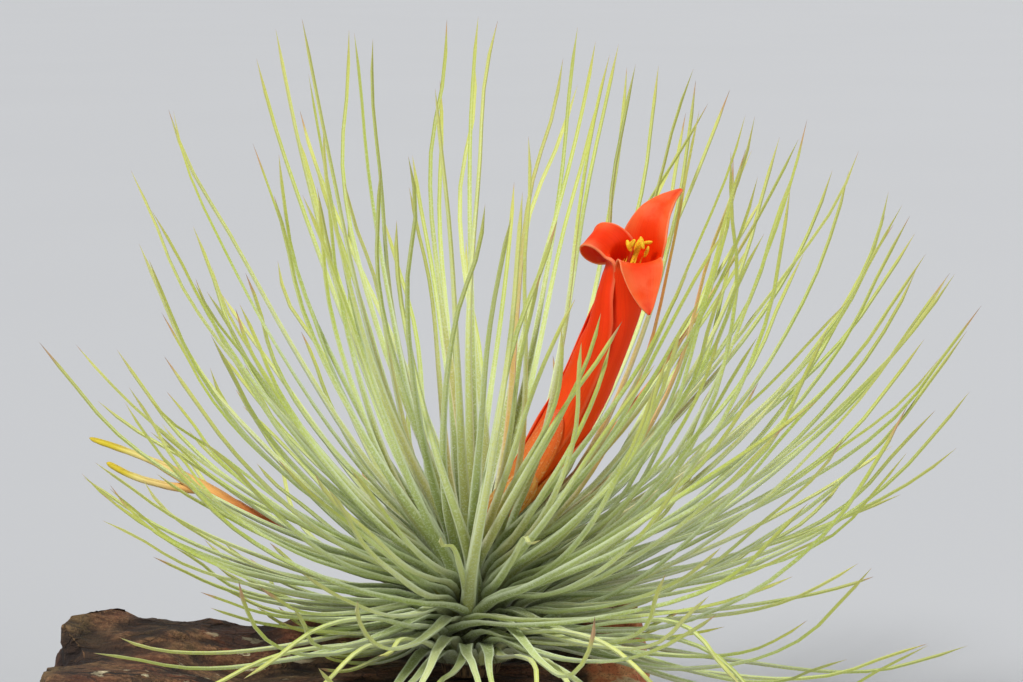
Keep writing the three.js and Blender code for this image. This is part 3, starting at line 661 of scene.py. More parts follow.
def withered_material():
    """A dried bloom: brown below, orange and straw yellow to its ends, wrinkled lengthwise."""
    paint = Paint("bloom_withered", roughness=0.7)
    wrinkles = paint.noise(paint.on_map((5, 14, 1)), 1.0, 3)
    paint.ground(paint.reckon("ADD", paint.along(), paint.times(wrinkles, 0.12)), [
        (0.0, tone(150, 128, 96)), (0.4, tone(128, 88, 62)), (0.6, tone(128, 56, 28)),
        (0.7, tone(226, 122, 50)), (0.78, tone(240, 178, 92)), (0.88, tone(236, 208, 128)),
        (0.95, tone(236, 218, 128)), (1.0, tone(224, 204, 44)),
    ])
    paint.coat(paint.span(wrinkles, 0.45, 0.62, 0.0, 0.4), tone(206, 112, 46))
    paint.roughen(wrinkles, 0.5 * MM, 0.8)
    return paint.finish()


def stem_material():
    """Brown fibres of a short stem, with green between the young leaves."""
    paint = Paint("stem_fibre", roughness=0.9)
    fibres = paint.noise(paint.place((1, 1, 0.15)), 1300, 3, 0.65)
    paint.shade = paint.blend(paint.span(fibres, 0.35, 0.65), tone(52, 36, 22), tone(124, 96, 60))
    height = paint.part(paint.place(), 2)
    top = CROWN_CENTRE.z + 0.7 * CROWN_HEIGHT
    paint.coat(paint.span(height, top, top + 0.3 * CROWN_HEIGHT, 0.0, 0.8), tone(116, 124, 70))
    paint.roughen(fibres, 0.6 * MM, 0.9)
    return paint.finish()


def bark_material(bark):
    """Brown and ochre, crackled and grainy, with cream flakes at the left, painted shade in its hollows and
    cork at the cut end.
    """
    paint = Paint("bark_brown", roughness=0.9)
    place = paint.place()
    low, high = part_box("bark_mount")
    grain = paint.noise(paint.place((0.3, 1, 0.8)), 420, 5, 0.65)
    specks = paint.noise(place, 1500, 3, 0.7)
    patches = paint.noise(place, 38, 4, 0.6)
    paint.ground(grain, [
        (0.3, tone(52, 34, 22)), (0.42, tone(84, 56, 36)), (0.54, bark.brown), (0.7, tone(164, 124, 86)),
    ])
    paint.coat(paint.span(patches, 0.5, 0.62, 0.0, 0.7), tone(126, 62, 34))
    paint.coat(paint.span(patches, 0.5, 0.38, 0.0, 0.6), tone(124, 104, 66))
    paint.coat(paint.span(specks, 0.52, 0.68, 0.0, 0.45), tone(174, 132, 92))
    paint.coat(paint.span(specks, 0.47, 0.34, 0.0, 0.6), bark.shade)
    across = paint.part(place, 0)
    left_end = paint.span(across, low.x + 24 * MM, low.x + 4 * MM, 0.0, 0.7)
    paint.coat(paint.times(left_end, paint.span(patches, 0.4, 0.58, 0.2, 1.0)), bark.shade)
    wide = paint.cracks(paint.place((0.3, 1, 0.9)), 95, 0.07, 6 * MM)
    fine = paint.cracks(paint.place((0.45, 1, 1)), 260, 0.06, 3 * MM)
    cracked = paint.times(paint.reckon("MAXIMUM", wide, paint.times(fine, 0.6)),
                          paint.span(paint.noise(place, 60, 2), 0.4, 0.56))
    paint.coat(paint.times(cracked, 0.88), bark.shade)
    flakes = paint.noise(paint.place((0.55, 1.5, 1.5), (0, 0, 0.35)), 250, 4, 0.6)
    near_left = paint.times(paint.span(across, low.x + 8 * MM, low.x + 20 * MM),
                            paint.span(across, -24 * MM, -48 * MM))
    flaked = paint.times(paint.span(flakes, 0.61, 0.63), near_left,
                         paint.span(paint.noise(place, 45, 1), 0.42, 0.52))
    paint.coat(flaked, bark.flake)
    # Painted shade: the bark is painted darker where its surface sinks into hollows.
    paint.coat(paint.span(paint.stored("bark_hollow_shade"), 0.1, 1.0, 0.0, 0.8), bark.shade)
    cork = paint.blend(paint.span(paint.noise(place, 300, 4), 0.4, 0.56), bark.tan, tone(206, 122, 80))
    cork = paint.blend(paint.span(paint.noise(place, 130, 3), 0.56, 0.62, 0.0, 0.7), cork, bark.flake)
    cork = paint.blend(paint.span(specks, 0.46, 0.36, 0.0, 0.7), cork, tone(120, 66, 44))
    ragged = paint.reckon("ADD", across, paint.times(patches, 14 * MM))
    paint.coat(paint.span(ragged, high.x - 12 * MM, high.x - 9 * MM, 0.0, 0.92), cork)
    relief = paint.reckon("ADD", grain, paint.times(flaked, 0.3))
    relief = paint.reckon("ADD", relief, paint.times(specks, 0.35))
    paint.roughen(paint.reckon("SUBTRACT", relief, paint.times(cracked, 0.6)), 1.4 * MM, 1.0)
    return paint.finish()


# ---------- leaves ----------

TIER_COUNT = 18
CAD_SECTIONS = 4  # three-sided sections of a packed blade, from its root to its point
CAD_FIRST_SHARE = 0.08  # share of a blade's length where the first of them stands
CAD_POINT_LEAST = 5 * MM  # a packed blade's point lies further than this from its last section
BLADE_CORNERS = [(-0.36, -0.5), (-0.08, 0.0), (-0.36, 0.5), (0.42, 0.24), (0.42, -0.24)]  # deep and wide
BLADE_ROWS = 18
ROW_CROWDING = 1.15  # above 1, a blade's rows stand closer together at its foot
BLADE_TAPER = 2.5
FOOT_FLARE = 0.35  # how much wider a blade is at its very foot
FOOT_SHARE = 0.035  # share of its length over which that ends
POINT_SHARE = 0.03  # share of its length that narrows to the point
OVERLAP = 1.26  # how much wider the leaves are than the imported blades, so that their bases overlap
THICKER = 0.6  # how far a leaf's thickness follows its width
ROOT_DEPTH = 0.65 * MM  # from the outside of the dome in to where a leaf starts
BASE_RISE = (2.6 * MM, 1.0 * MM)  # how far a level leaf's first two sections stand over a straight way out
WAVES = [0, 0, 0.2, 0.5, 0.6]  # how far the points of a leaf may stray, from its root on, in millimetres
HOOK = (0.4, 2.4)  # how far a leaf's end swings out before its tip, least and most, in millimetres
HOOK_AT = 0.62  # share of the way from the last section to the tip where it does
BAND_STEPS = 40  # around the crown
DRY_TIP = (0.8, 8)  # least length of a dry tip, and what the driest leaf adds to it, in millimetres
DRY_RARITY = 7  # how few leaves have a long dry tip
FLUSH_REACH = (9, 20)  # how far the flush reaches from the flower, least and most, in millimetres


def straight_blade(leaves):
    """One blade to copy: straight along +X to a point, channelled above towards -Y and rounded below."""
    blade = flat_disc("blade", len(BLADE_CORNERS))
    edit(blade)
    for index, (deep, wide) in enumerate(BLADE_CORNERS):
        shape = bmesh.from_edit_mesh(blade.data)
        shape.verts.ensure_lookup_table()
        here = shape.verts[index].co.copy()
        goal = Vector((0, deep * leaves.base_depth, wide * leaves.base_width))
        pick_near(blade, here)
        move_by(goal - here)
    pick_all()
    tip = leaves.tip_width / leaves.base_width
    rows = []
    for step in range(BLADE_ROWS + 1):
        share = (step / BLADE_ROWS) ** ROW_CROWDING
        body = tip + (1 - tip) * (1 - share) ** BLADE_TAPER
        flare = 1 + FOOT_FLARE * max(0, 1 - share / FOOT_SHARE) ** 1.5
        point = min(1, ((1 - share) / POINT_SHARE + 0.02)) ** 0.6
        thick = (0.42 + 0.58 * (1 - share) ** 1.8) * point
        rows.append((share, thick, body * flare * point))
    rescale((1, *rows[0][1:]))
    grow_rows(rows)
    bpy.ops.mesh.merge(type="CENTER")
    face_out()
    lay_map(blade)
    smooth(blade, 62)
    return blade


def root_on_dome(place, direction):
    """Where a line from a place meets the leafy dome, a little under its outside."""
    size = Vector((CROWN_RADIUS, CROWN_RADIUS, CROWN_HEIGHT)) - Vector((ROOT_DEPTH,) * 3)
    start = Vector([a / b for a, b in zip(place - CROWN_CENTRE, size)])
    way = Vector([a / b for a, b in zip(direction, size)])
    square, double, rest = way.dot(way), 2 * start.dot(way), start.dot(start) - 1
    under = max(double * double - 4 * square * rest, 0)
    return place + direction * ((-double - math.sqrt(under)) / (2 * square))


def blades_of(node):
    """The blades of a packed half tier: each one's points from root to tip, its side and its base width."""
    shape = bmesh.new()
    shape.from_mesh(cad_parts[node].data)
    bmesh.ops.remove_doubles(shape, verts=shape.verts, dist=WELD)
    near = {corner: {edge.other_vert(corner) for edge in corner.link_edges} for corner in shape.verts}
    found = []
    for apex, ring in near.items():
        if len(ring) != 3 or min((corner.co - apex.co).length for corner in ring) < CAD_POINT_LEAST:
            continue
        points, sides, done = [apex.co.copy()], [], {apex}
        for _ in range(CAD_SECTIONS):
            if len(ring) != 3:
                raise RuntimeError(f"a blade of {node} has a section that isn't three-sided")
            first, second, third = [corner.co for corner in ring]
            pairs = [(first, second, third), (second, third, first), (third, first, second)]
            left, right, keel = max(pairs, key=lambda pair: (pair[0] - pair[1]).length)
            side, down = right - left, keel - (left + right) / 2
            middle = (first + second + third) / 3
            if side.cross(points[-1] - middle).dot(down) < 0:
                side = -side
            sides.append(side)
            points.append(middle)
            done |= ring
            ring = set().union(*(near[corner] for corner in ring)) - done
        points.append(root_on_dome(points[-1], (points[-1] - points[-2]).normalized()))
        found.append({"points": points[::-1], "side": sides[-1] + sides[-2], "width": sides[-1].length})
    shape.free()
    return found


def natural_way(points, draws):
    """A blade's points with a raised base, small waves and a hooked end, its tip left where it was."""
    along = (points[-1] - points[-2]).normalized()
    aside = along.cross(UP).normalized()
    upward = aside.cross(along)
    moved = [point + aside * draws.uniform(-wave, wave) * MM + upward * draws.uniform(-wave, wave) * MM
             for point, wave in zip(points, WAVES)]
    foot = (points[2] - points[0]).normalized()
    rise = UP - foot * foot.z
    moved[1] += rise * BASE_RISE[0]
    moved[2] += rise * BASE_RISE[1]
    hook = (aside * draws.uniform(-1, 1) + upward * draws.uniform(-0.3, 1)) * draws.uniform(*HOOK) * MM
    return [*moved, moved[-1].lerp(points[-1], HOOK_AT) - hook * 0.8, points[-1]]


def grow_leaf(blade, data, leaves, draws, line):
    """A copy of the blade bent to its own path, with its tint, flush and dry tip stored on it."""
    leaf = copied(blade)
    narrow = (1 - CAD_FIRST_SHARE) ** BLADE_TAPER
    width = leaves.tip_width + (OVERLAP * data["width"] - leaves.tip_width) / narrow
    scale = width / leaves.base_width
    leaf.data.transform(Matrix.Diagonal((1, lerp(1, scale, THICKER), scale, 1)))
    bend_along(leaf, natural_way(data["points"], draws), data["side"])
    own_tone, eager, dryness = draws.random(), draws.random(), draws.random()
    whole = sum((b - a).length for a, b in zip(data["points"], data["points"][1:]))
    store(leaf, "leaf_tone", own_tone)
    store(leaf, "leaf_dry", (DRY_TIP[0] + DRY_TIP[1] * dryness ** DRY_RARITY) * MM / whole)
    reach = lerp(*FLUSH_REACH, eager) * MM
    gaps = [min((corner.co - point).length for point in line) for corner in leaf.data.vertices]
    store(leaf, "leaf_flush", [min(1, 1.25 * math.exp(-(gap / reach) ** 2)) for gap in gaps])
    return leaf


def dome_point(angle, depth):
    """The point of the dome's profile at an angle from its top, so far under its outside."""
    radius = (CROWN_RADIUS - depth) * math.sin(angle)
    return Vector((radius, 0, CROWN_CENTRE.z + (CROWN_HEIGHT - depth) * math.cos(angle)))


def sheath_band(top, low):
    """The ring of joined leaf bases between two angles of the dome: four corners spun around."""
    band = add_primitive(bpy.ops.mesh.primitive_plane_add, "band", size=1)
    edit(band)
    for x, y, angle, depth in ((-1, -1, low, 1.2), (1, -1, low, -0.1), (-1, 1, top, 1.3), (1, 1, top, 0.4)):
        corner = Vector((0.5 * x, 0.5 * y, 0))
        pick_near(band, corner)
        move_by(dome_point(angle, depth * MM) - corner)
    pick_all()
    bpy.ops.mesh.delete(type="ONLY_FACE")
    pick_all()
    bpy.ops.mesh.spin(steps=BAND_STEPS, angle=math.tau, center=(0, 0, 0), axis=UP)
    pick_all()
    bpy.ops.mesh.remove_doubles(threshold=WELD)
    face_out()
    # The whole band takes the dark foot of the leaf colours: painted shade in the gaps between the leaf bases.
    for loop in band.data.uv_layers.new(name=MAP).data:
        loop.uv = (0.01, 0.5)
    store(band, "leaf_tone", 0.5)
    store(band, "leaf_dry", 0.001)
    store(band, "leaf_flush", 0)
    smooth(band, 40)
    return band


def polar_angle(place):
    """How far a place on the dome lies from its top, as an angle."""
    offset = place - CROWN_CENTRE
    return math.atan2(math.hypot(offset.x, offset.y) / CROWN_RADIUS, offset.z / CROWN_HEIGHT)


class AIRPLANT_OT_leaves(bpy.types.Operator):
    """Grow the leaves, tier by tier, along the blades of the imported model"""
    bl_idname = "airplant.leaves"
    bl_label = "Leaves"

    def execute(self, context):
        leaves = context.scene.airplant_leaves
        material = leaf_material(leaves)
        draws = random.Random(leaves.seed)
        blade = straight_blade(leaves)
        line = [flower_place(lerp(TUBE_SHARE, 1, step / 12)) for step in range(13)]
        tiers, angles = [], []
        for tier in range(1, TIER_COUNT + 1):
            nodes = [f"leaves_tier_{tier:02d}_{half}" for half in "ab"]
            blades = [data for node in nodes for data in blades_of(node)]
            if not blades:
                raise RuntimeError(f"no blades found in {nodes}")
            tiers.append((nodes, blades))
            angles.append(sum(polar_angle(data["points"][0]) for data in blades) / len(blades))
        edges = [(a + b) / 2 for a, b in zip(angles, angles[1:])]
        edges = [2 * angles[0] - edges[0], *edges, 2 * angles[-1] - edges[-1]]
        for (nodes, blades), top, low in zip(tiers, edges, edges[1:]):
            grown = [sheath_band(top, low)]
            grown += [grow_leaf(blade, data, leaves, draws, line) for data in blades]
            finish_piece(join(nodes[0][:-2], grown), material, "leaf", *nodes)
        bpy.data.objects.remove(blade)
        return {"FINISHED"}


class AIRPLANT_OT_stem(bpy.types.Operator):
    """Carve the short fibrous stem inside the leaf bases"""
    bl_idname = "airplant.stem"
    bl_label = "Stem"

    def execute(self, context):
        stem = merged_copy("stem", "stem_core")
        apply_modifier(stem, "REMESH", mode="VOXEL", voxel_size=0.6 * MM)
        apply_modifier(stem, "SMOOTH", factor=0.6, iterations=6)
        displace(stem, "CLOUDS", 1.6 * MM, 0.5 * MM, (1, 1, 6))
        smooth(stem, 80)
        finish_piece(stem, stem_material(), "stem", "stem")
        return {"FINISHED"}


# ---------- flower ----------

FLOWER_ROUTE = [
    CROWN_CENTRE + Vector((0, 0, CROWN_HEIGHT - 1.2 * MM)),
    CROWN_CENTRE + Vector((0.2 * MM, 0, CROWN_HEIGHT + 1 * MM)),
    seen(3, 22, 5), seen(12.5, 32, 6), seen(22, 46, 7),
    seen(28.5, 60, 9), seen(33, 72, 11), seen(35.5, 79, 15),
]
STALK_SHARE = 0.115  # of the flower's route, up to the top of the stalk
TUBE_SHARE = 0.12  # of the route, up to the foot of the petal tube
WIDENING = (TUBE_SHARE - 0.05, 0.5)  # the tube widens between these shares of the route
NEARBY = 0.004  # share of the route to either side over which its direction is taken
UP_AND_BACK = seen(0, 600, -800) - CROWN_CENTRE
GAP = 0.3 * MM  # between the layers at the flower's foot


def on_line(points, share):
    """A point on a smooth line through points, by its share of the parameter."""
    spot = min(share, 1 - 1e-9) * (len(points) - 1)
    index = int(spot)
    t = spot - index
    p0 = points[index - 1] if index > 0 else 2 * points[0] - points[1]
    p1, p2 = points[index], points[index + 1]
    p3 = points[index + 2] if index + 2 < len(points) else 2 * points[-1] - points[-2]
    return 0.5 * (2 * p1 + (p2 - p0) * t + (2 * p0 - 5 * p1 + 4 * p2 - p3) * t ** 2
                  + (3 * p1 - 3 * p2 + p3 - p0) * t ** 3)


FINE_ROUTE = [on_line(FLOWER_ROUTE, step / 400) for step in range(401)]


def flower_place(share):
    """The point on the flower's route at a share of its length."""
    total = sum((b - a).length for a, b in zip(FINE_ROUTE, FINE_ROUTE[1:]))
    wanted, gone = share * total, 0.0
    for start, end in zip(FINE_ROUTE, FINE_ROUTE[1:]):
        step = (end - start).length
        if gone + step >= wanted:
            return start.lerp(end, (wanted - gone) / step)
        gone += step
    return FINE_ROUTE[-1].copy()


def flower_frame(share):
    """The route's point, its direction, and what is behind and to the right of it."""
    low, high = max(share - NEARBY, 0), min(share + NEARBY, 1)
    along = (flower_place(high) - flower_place(low)).normalized()
    back = (UP_AND_BACK - along * UP_AND_BACK.dot(along)).normalized()
    return flower_place(share), along, back, back.cross(along)


def tube_radius(share):
    """Radius of the petal tube, which widens from its foot to its mouth."""
    flower = bpy.context.scene.airplant_flower
    return lerp(flower.foot_radius, flower.mouth_radius, smoothstep(share, *WIDENING))


def around(back, right, turn):
    """A direction around the flower, turned from behind over the right."""
    return back * math.cos(turn) + right * math.sin(turn)


# Where the petals stand, how long their blades are, how far they lean out and between which shares of the
# blade, in degrees and millimetres. The half angle is what a petal takes of the tube, to each side. A
# skewed blade folds on a line that isn't square to the tube, and a swung one has its tip aside.
PETALS = {
    "petal_upper": {"turn": 45.5, "length": 17.5, "lean": (-10, 57), "between": (0, 1),
                    "half_width": 6.6, "half_angle": 66, "skew": -19, "swing": -3.1},
    "petal_left": {"turn": -62, "length": 16.9, "lean": (21, 320), "between": (-0.16, 1.08),
                   "half_width": 4.6, "half_angle": 72, "skew": -28, "swing": 2.1},
    "petal_lower": {"turn": 173, "length": 13.9, "lean": (-33, 133), "between": (-0.05, 0.25),
                    "half_width": 5.2, "half_angle": 66, "skew": 15, "swing": 0.7},
}
PETAL_COLUMNS, CLAW_STEPS, BLADE_STEPS = 12, 16, 24
CLAW_TWIST = math.radians(-52)  # how far a petal turns around the tube on its way down from the mouth
TWIST_SPAN = 0.3  # share of the claw over which it does
PETAL_HOLLOW = (0.7, 0.1)  # how deep a blade is hollowed across, more at its foot and the rest all along
PETAL_OVERLAP = math.radians(3.5)  # how far a claw turns over the next one
OVERLAP_ENDS = (0.62, 0.85)  # shares of a petal between which that ends
POINTED = 0.8  # below 1, a petal's end is broad and above 1 it is drawn out
NARROW_LEAST, RISE_LEAST = 0.012, 0.02 * MM  # keep the last rows open, so that they can be scaled


def petal_shape(petal):
    """The rows of a petal's sheet, its rib's points and the direction across, claw and blade together."""
    turn, half_angle, skew = (math.radians(petal[key]) for key in ("turn", "half_angle", "skew"))
    blade_length, half_width, swing = (petal[key] * MM for key in ("length", "half_width", "swing"))
    points, sizes, turns = [], [], []
    for step in range(CLAW_STEPS + 1):
        share = lerp(TUBE_SHARE, 1, step / CLAW_STEPS)
        centre, _, back, right = flower_frame(share)
        radius = tube_radius(share)
        twist = CLAW_TWIST * smoothstep(1 - step / CLAW_STEPS, 0, TWIST_SPAN)
        points.append(centre + around(back, right, turn + twist) * radius)
        sizes.append((radius, radius))
        turns.append(twist)
    centre, along, back, right = flower_frame(1)
    mouth = tube_radius(1)
    across = around(back, right, turn - math.pi / 2) * math.cos(skew) + along * math.sin(skew)
    ahead = (along - across * across.dot(along)).normalized()
    out = across.cross(ahead)
    claw_half = mouth * math.sin(half_angle)
    rib = points[-1]
    for step in range(1, BLADE_STEPS + 1):
        share = step / BLADE_STEPS
        angle = math.radians(lerp(*petal["lean"], smoothstep(share - 0.5 / BLADE_STEPS, *petal["between"])))
        rib = rib + (ahead * math.cos(angle) + out * math.sin(angle)) * (blade_length / BLADE_STEPS)
        points.append(rib + across * swing * share ** 3)
        narrow = max(1 - share ** 1.6, NARROW_LEAST) ** POINTED
        half = lerp(claw_half, half_width, min(1, 4 * share)) * narrow
        hollow = (PETAL_HOLLOW[0] * (1 - share) ** 2 + PETAL_HOLLOW[1]) / mouth
        rise = hollow * half * half / 2 / (1 - math.cos(half_angle))
        sizes.append((max(rise, RISE_LEAST), half / math.sin(half_angle)))
        turns.append(0)
    gone, places = 0.0, [0.0]
    for start, end in zip(points, points[1:]):
        gone += (end - start).length
        places.append(gone)
    rows = []
    for place, (rise, wide), twist in zip(places, sizes, turns):
        share = place / gone
        overlap = PETAL_OVERLAP * (1 - smoothstep(share, *OVERLAP_ENDS))
        rows.append((share, rise, wide, overlap - twist))
    return rows, points, across


class AIRPLANT_OT_petals(bpy.types.Operator):
    """Shape the three petals: rolled into a tube below and open above"""
    bl_idname = "airplant.petals"
    bl_label = "Petals"

    def execute(self, context):
        flower = context.scene.airplant_flower
        material = petal_material(flower)
        for name, petal in PETALS.items():
            half_angle = math.radians(petal["half_angle"])
            shape = petal_shape(petal)
            piece = swept_sheet(name + "_blade", PETAL_COLUMNS, half_angle, *shape, flower.petal_thickness)
            displace(piece, "CLOUDS", 6 * MM, 0.5 * MM)
            finish_piece(piece, material, "petal", name)
        return {"FINISHED"}


WRAP_COLUMNS, WRAP_STEPS = 10, 14


def wrap(name, turn, reach, offset, half_angle, tip_power, thickness):
    """A wrap around the flower's foot that narrows to its tip: reach is two shares of the route."""
    turn, half_angle = math.radians(turn), math.radians(half_angle)
    points, rows = [], []
    for step in range(WRAP_STEPS + 1):
        share = step / WRAP_STEPS
        at = lerp(*reach, share)
        centre, _, back, right = flower_frame(at)
        radius = tube_radius(at) + offset
        points.append(centre + around(back, right, turn) * radius)
        narrow = math.sqrt(max(1 - share ** tip_power, 0.001))
        rows.append((share, radius * narrow ** 1.6, radius * narrow, 0))
    _, _, back, right = flower_frame(sum(reach) / 2)
    across = around(back, right, turn - math.pi / 2)
    return swept_sheet(name, WRAP_COLUMNS, half_angle, rows, points, across, thickness)


STALK_ROWS = [(0, 1.8), (0.2, 1.7), (0.5, 1.8), (0.8, 2.1), (0.96, 2.2), (1, 1.4)]
SEPAL_TURNS = {"back": 105, "right": 225, "left": 345}
SEPAL_REACH, BRACT_REACH = (TUBE_SHARE, 0.5), (0.07, 0.3)  # shares of the route


class AIRPLANT_OT_flower_foot(bpy.types.Operator):
    """Wrap the flower's foot: its stalk, three sepals and the bract"""
    bl_idname = "airplant.flower_foot"
    bl_label = "Stalk, sepals and bract"

    def execute(self, context):
        flower = context.scene.airplant_flower
        points = [flower_place(STALK_SHARE * step / 6) for step in range(7)]
        stalk = swept_tube("stalk", 16, STALK_ROWS, points, UPRIGHT)
        smooth(stalk, 60)
        green = papery_material("stalk_green", tone(200, 206, 142), tone(150, 152, 92), 0.75)
        finish_piece(stalk, green, "stalk", "flower_stalk")
        material = sepal_material(flower)
        for side, turn in SEPAL_TURNS.items():
            offset = GAP + flower.sepal_thickness / 2 + (0.25 * MM if side == "right" else 0)
            sepal = wrap(f"sepal_{side}_wrap", turn, SEPAL_REACH, offset, 60, 2.2, flower.sepal_thickness)
            finish_piece(sepal, material, "sepal", f"sepal_{side}")
        offset = 2 * GAP + 1.5 * flower.sepal_thickness
        bract = wrap("bract_wrap", 200, BRACT_REACH, offset, 66, 2.6, flower.petal_thickness)
        papery = papery_material("bract_papery", tone(234, 178, 92), tone(216, 122, 44), 0.8)
        finish_piece(bract, papery, "bract", "flower_bract")
        return {"FINISHED"}


FILAMENT_ROWS = [(0, 0.3), (0.5, 0.3), (0.9, 0.28), (1, 0.2)]
PISTIL_ROWS = [(0, 0.4), (0.5, 0.4), (0.94, 0.4), (0.965, 0.75), (0.985, 0.8), (1, 0.3)]
STAMEN_COUNT = 6
STAMEN_RING = 1.3 * MM  # from the tube's middle to a filament, at its foot
RING_WIDENING = 0.6  # how much further out it stands at the mouth
STAMEN_PAST = (1.5, 3.5)  # how far one comes out of the mouth, and what the longest adds, in millimetres
PISTIL_PAST = 5.5 * MM
STAMEN_SEED = 11
SPREAD = 0.618  # mixes the lengths around the ring
ANTHER_SIZE = (0.62, 0.5, 1.45)  # half its width, depth and length, in millimetres
GROOVE_DEPTH = 0.24 * MM


def thread_route(turn, ring, past):
    """The line of a filament: beside the tube's middle, wider to the mouth, and past it."""
    points = []
    for share in (0, 0.3, 0.6, 0.85, 1):
        centre, along, back, right = flower_frame(lerp(TUBE_SHARE, 1, share))
        points.append(centre + around(back, right, turn) * ring * (1 + RING_WIDENING * share))
    points.append(points[-1] + along * past)
    return points


def anther():
    """One anther to copy: a long bead with a groove along its front, centred on the origin along Z."""
    bead = add_primitive(bpy.ops.mesh.primitive_uv_sphere_add, "bead", segments=12, ring_count=8, radius=MM)
    edit(bead)
    pick_all()
    rescale(ANTHER_SIZE)
    pick(bead, lambda place: abs(place.x) < 0.08 * MM and place.y < 0 and abs(place.z) < 1.3 * MM)
    move_by((0, GROOVE_DEPTH, 0))
    leave_edit()
    return bead


class AIRPLANT_OT_stamens(bpy.types.Operator):
    """Set the six stamens and the pistil into the throat"""
    bl_idname = "airplant.stamens"
    bl_label = "Stamens and pistil"

    def execute(self, context):
        material = anther_material(context.scene.airplant_flower)
        bead = anther()
        draws = random.Random(STAMEN_SEED)
        across = UP_AND_BACK.cross(flower_frame(1)[1])
        made = {}
        for index in range(STAMEN_COUNT):
            past = (STAMEN_PAST[0] + STAMEN_PAST[1] * ((index * SPREAD) % 1)) * MM
            points = thread_route(math.radians(360 / STAMEN_COUNT * index), STAMEN_RING, past)
            filament = swept_tube("filament", 8, FILAMENT_ROWS, points, across)
            tip = copied(bead)
            way = (points[-1] - points[-2]).normalized()
            tilt = Matrix.Rotation(draws.uniform(-1.1, 1.1), 4, "X")
            spin = Matrix.Rotation(draws.uniform(0, 6.3), 4, "Z")
            facing = way.to_track_quat("Z", "Y").to_matrix().to_4x4()
            middle = Matrix.Translation(points[-1] + way * 0.4 * MM)
            tip.data.transform(middle @ facing @ (tilt @ spin))
            made[f"stamen_{index + 1}"] = join(f"stamen_{index + 1}_anther", [filament, tip])
        bpy.data.objects.remove(bead)
        points = thread_route(0, 0, PISTIL_PAST)
        made["pistil"] = swept_tube("pistil_stigma", 12, PISTIL_ROWS, points, across)
        for node, piece in made.items():
            subdivide(piece, 1)
            smooth(piece, 80)
            finish_piece(piece, material, "stamen", node)
        return {"FINISHED"}


# ---------- withered flower ----------

LOW_BEND, FORK = seen(-32, 17, -27), seen(-62, 32, -43)
UPPER_ENDS = [seen(-75, 39, -46), seen(-91, 45, -50)]
LOWER_ROUTE = [seen(-60, 31.5, -43), seen(-70, 33, -46), seen(-78, 34.5, -48), seen(-86.5, 39, -49)]
LOWER_ROWS = [(0, 0.8), (0.25, 1.2), (0.5, 0.95), (0.8, 0.8), (0.95, 0.8), (1, 0.5)]
LOWER_COLOURS = (0.66, 0.34)  # where the lower lobe's colours start on the map, and how much they take
BLOOM_STEPS = 24
SWELL_AT, SWELL_REACH = 0.74, 0.09  # shares of the withered tube's length


class AIRPLANT_OT_withered_flower(bpy.types.Operator):
    """Hang the withered flower of an earlier bloom among the left leaves"""
    bl_idname = "airplant.withered_flower"
    bl_label = "Withered flower"

    def execute(self, context):
        foot = root_on_dome(LOW_BEND, (LOW_BEND - CROWN_CENTRE).normalized())
        rows = []
        for step in range(BLOOM_STEPS):
            share = step / BLOOM_STEPS
            swell = 0.95 * math.exp(-(((share - SWELL_AT) / SWELL_REACH) ** 2))
            wrinkle = 1 + 0.08 * math.sin(19 * share)
            rows.append((share, (0.7 + swell + 0.15 * share) * wrinkle))
        rows += [(0.985, 0.74), (1, 0.62)]
        route = [foot, foot.lerp(LOW_BEND, 0.5), LOW_BEND, FORK, *UPPER_ENDS]
        bloom = swept_tube("bloom", 12, rows, route, UPRIGHT)
        lobe = swept_tube("lobe", 12, LOWER_ROWS, LOWER_ROUTE, UPRIGHT)
        for loop in lobe.data.uv_layers[MAP].data:
            loop.uv.x = LOWER_COLOURS[0] + LOWER_COLOURS[1] * loop.uv.x
        withered = join("withered_bloom", [bloom, lobe])
        subdivide(withered, 2)
        displace(withered, "CLOUDS", 2.4 * MM, 0.5 * MM, (3, 1, 1))
        smooth(withered, 80)
        finish_piece(withered, withered_material(), "withered", "spent_flower")
        return {"FINISHED"}


# ---------- bark ----------

# Knots and hollows of the bark: the middle, how far it is drawn out and the reach, in millimetres.
BARK_DENTS = [
    ((-86, 26, 45), (1, -1, 2.4), 9), ((-66, 28, 44), (0, 0, -1.8), 12),
    ((-94, 4, 38), (3, 0, -2), 9), ((-93, -18, 36), (-2.5, 0, 1.5), 8),
    ((-92, -34, 24), (4, 3, 0), 10), ((-60, -36, 30), (0, 2.5, -2), 12),
    ((-30, -38, 28), (0, -1.5, 1.5), 10), ((-50, 20, 43), (0, 0, -2), 9),
    ((42, -24, 26), (2, 1, 0), 8),
]
DENT_CORE = 2 * MM  # what moves with the whole shift around a dent's middle
FLAT_BELOW = 0.9 * MM  # what lies lower is pressed flat onto the ground
# The painted shade in the bark's hollows deepens up to this depth.
DARK_DEPTH = 1.5 * MM  # how deep a hollow is where it is darkest


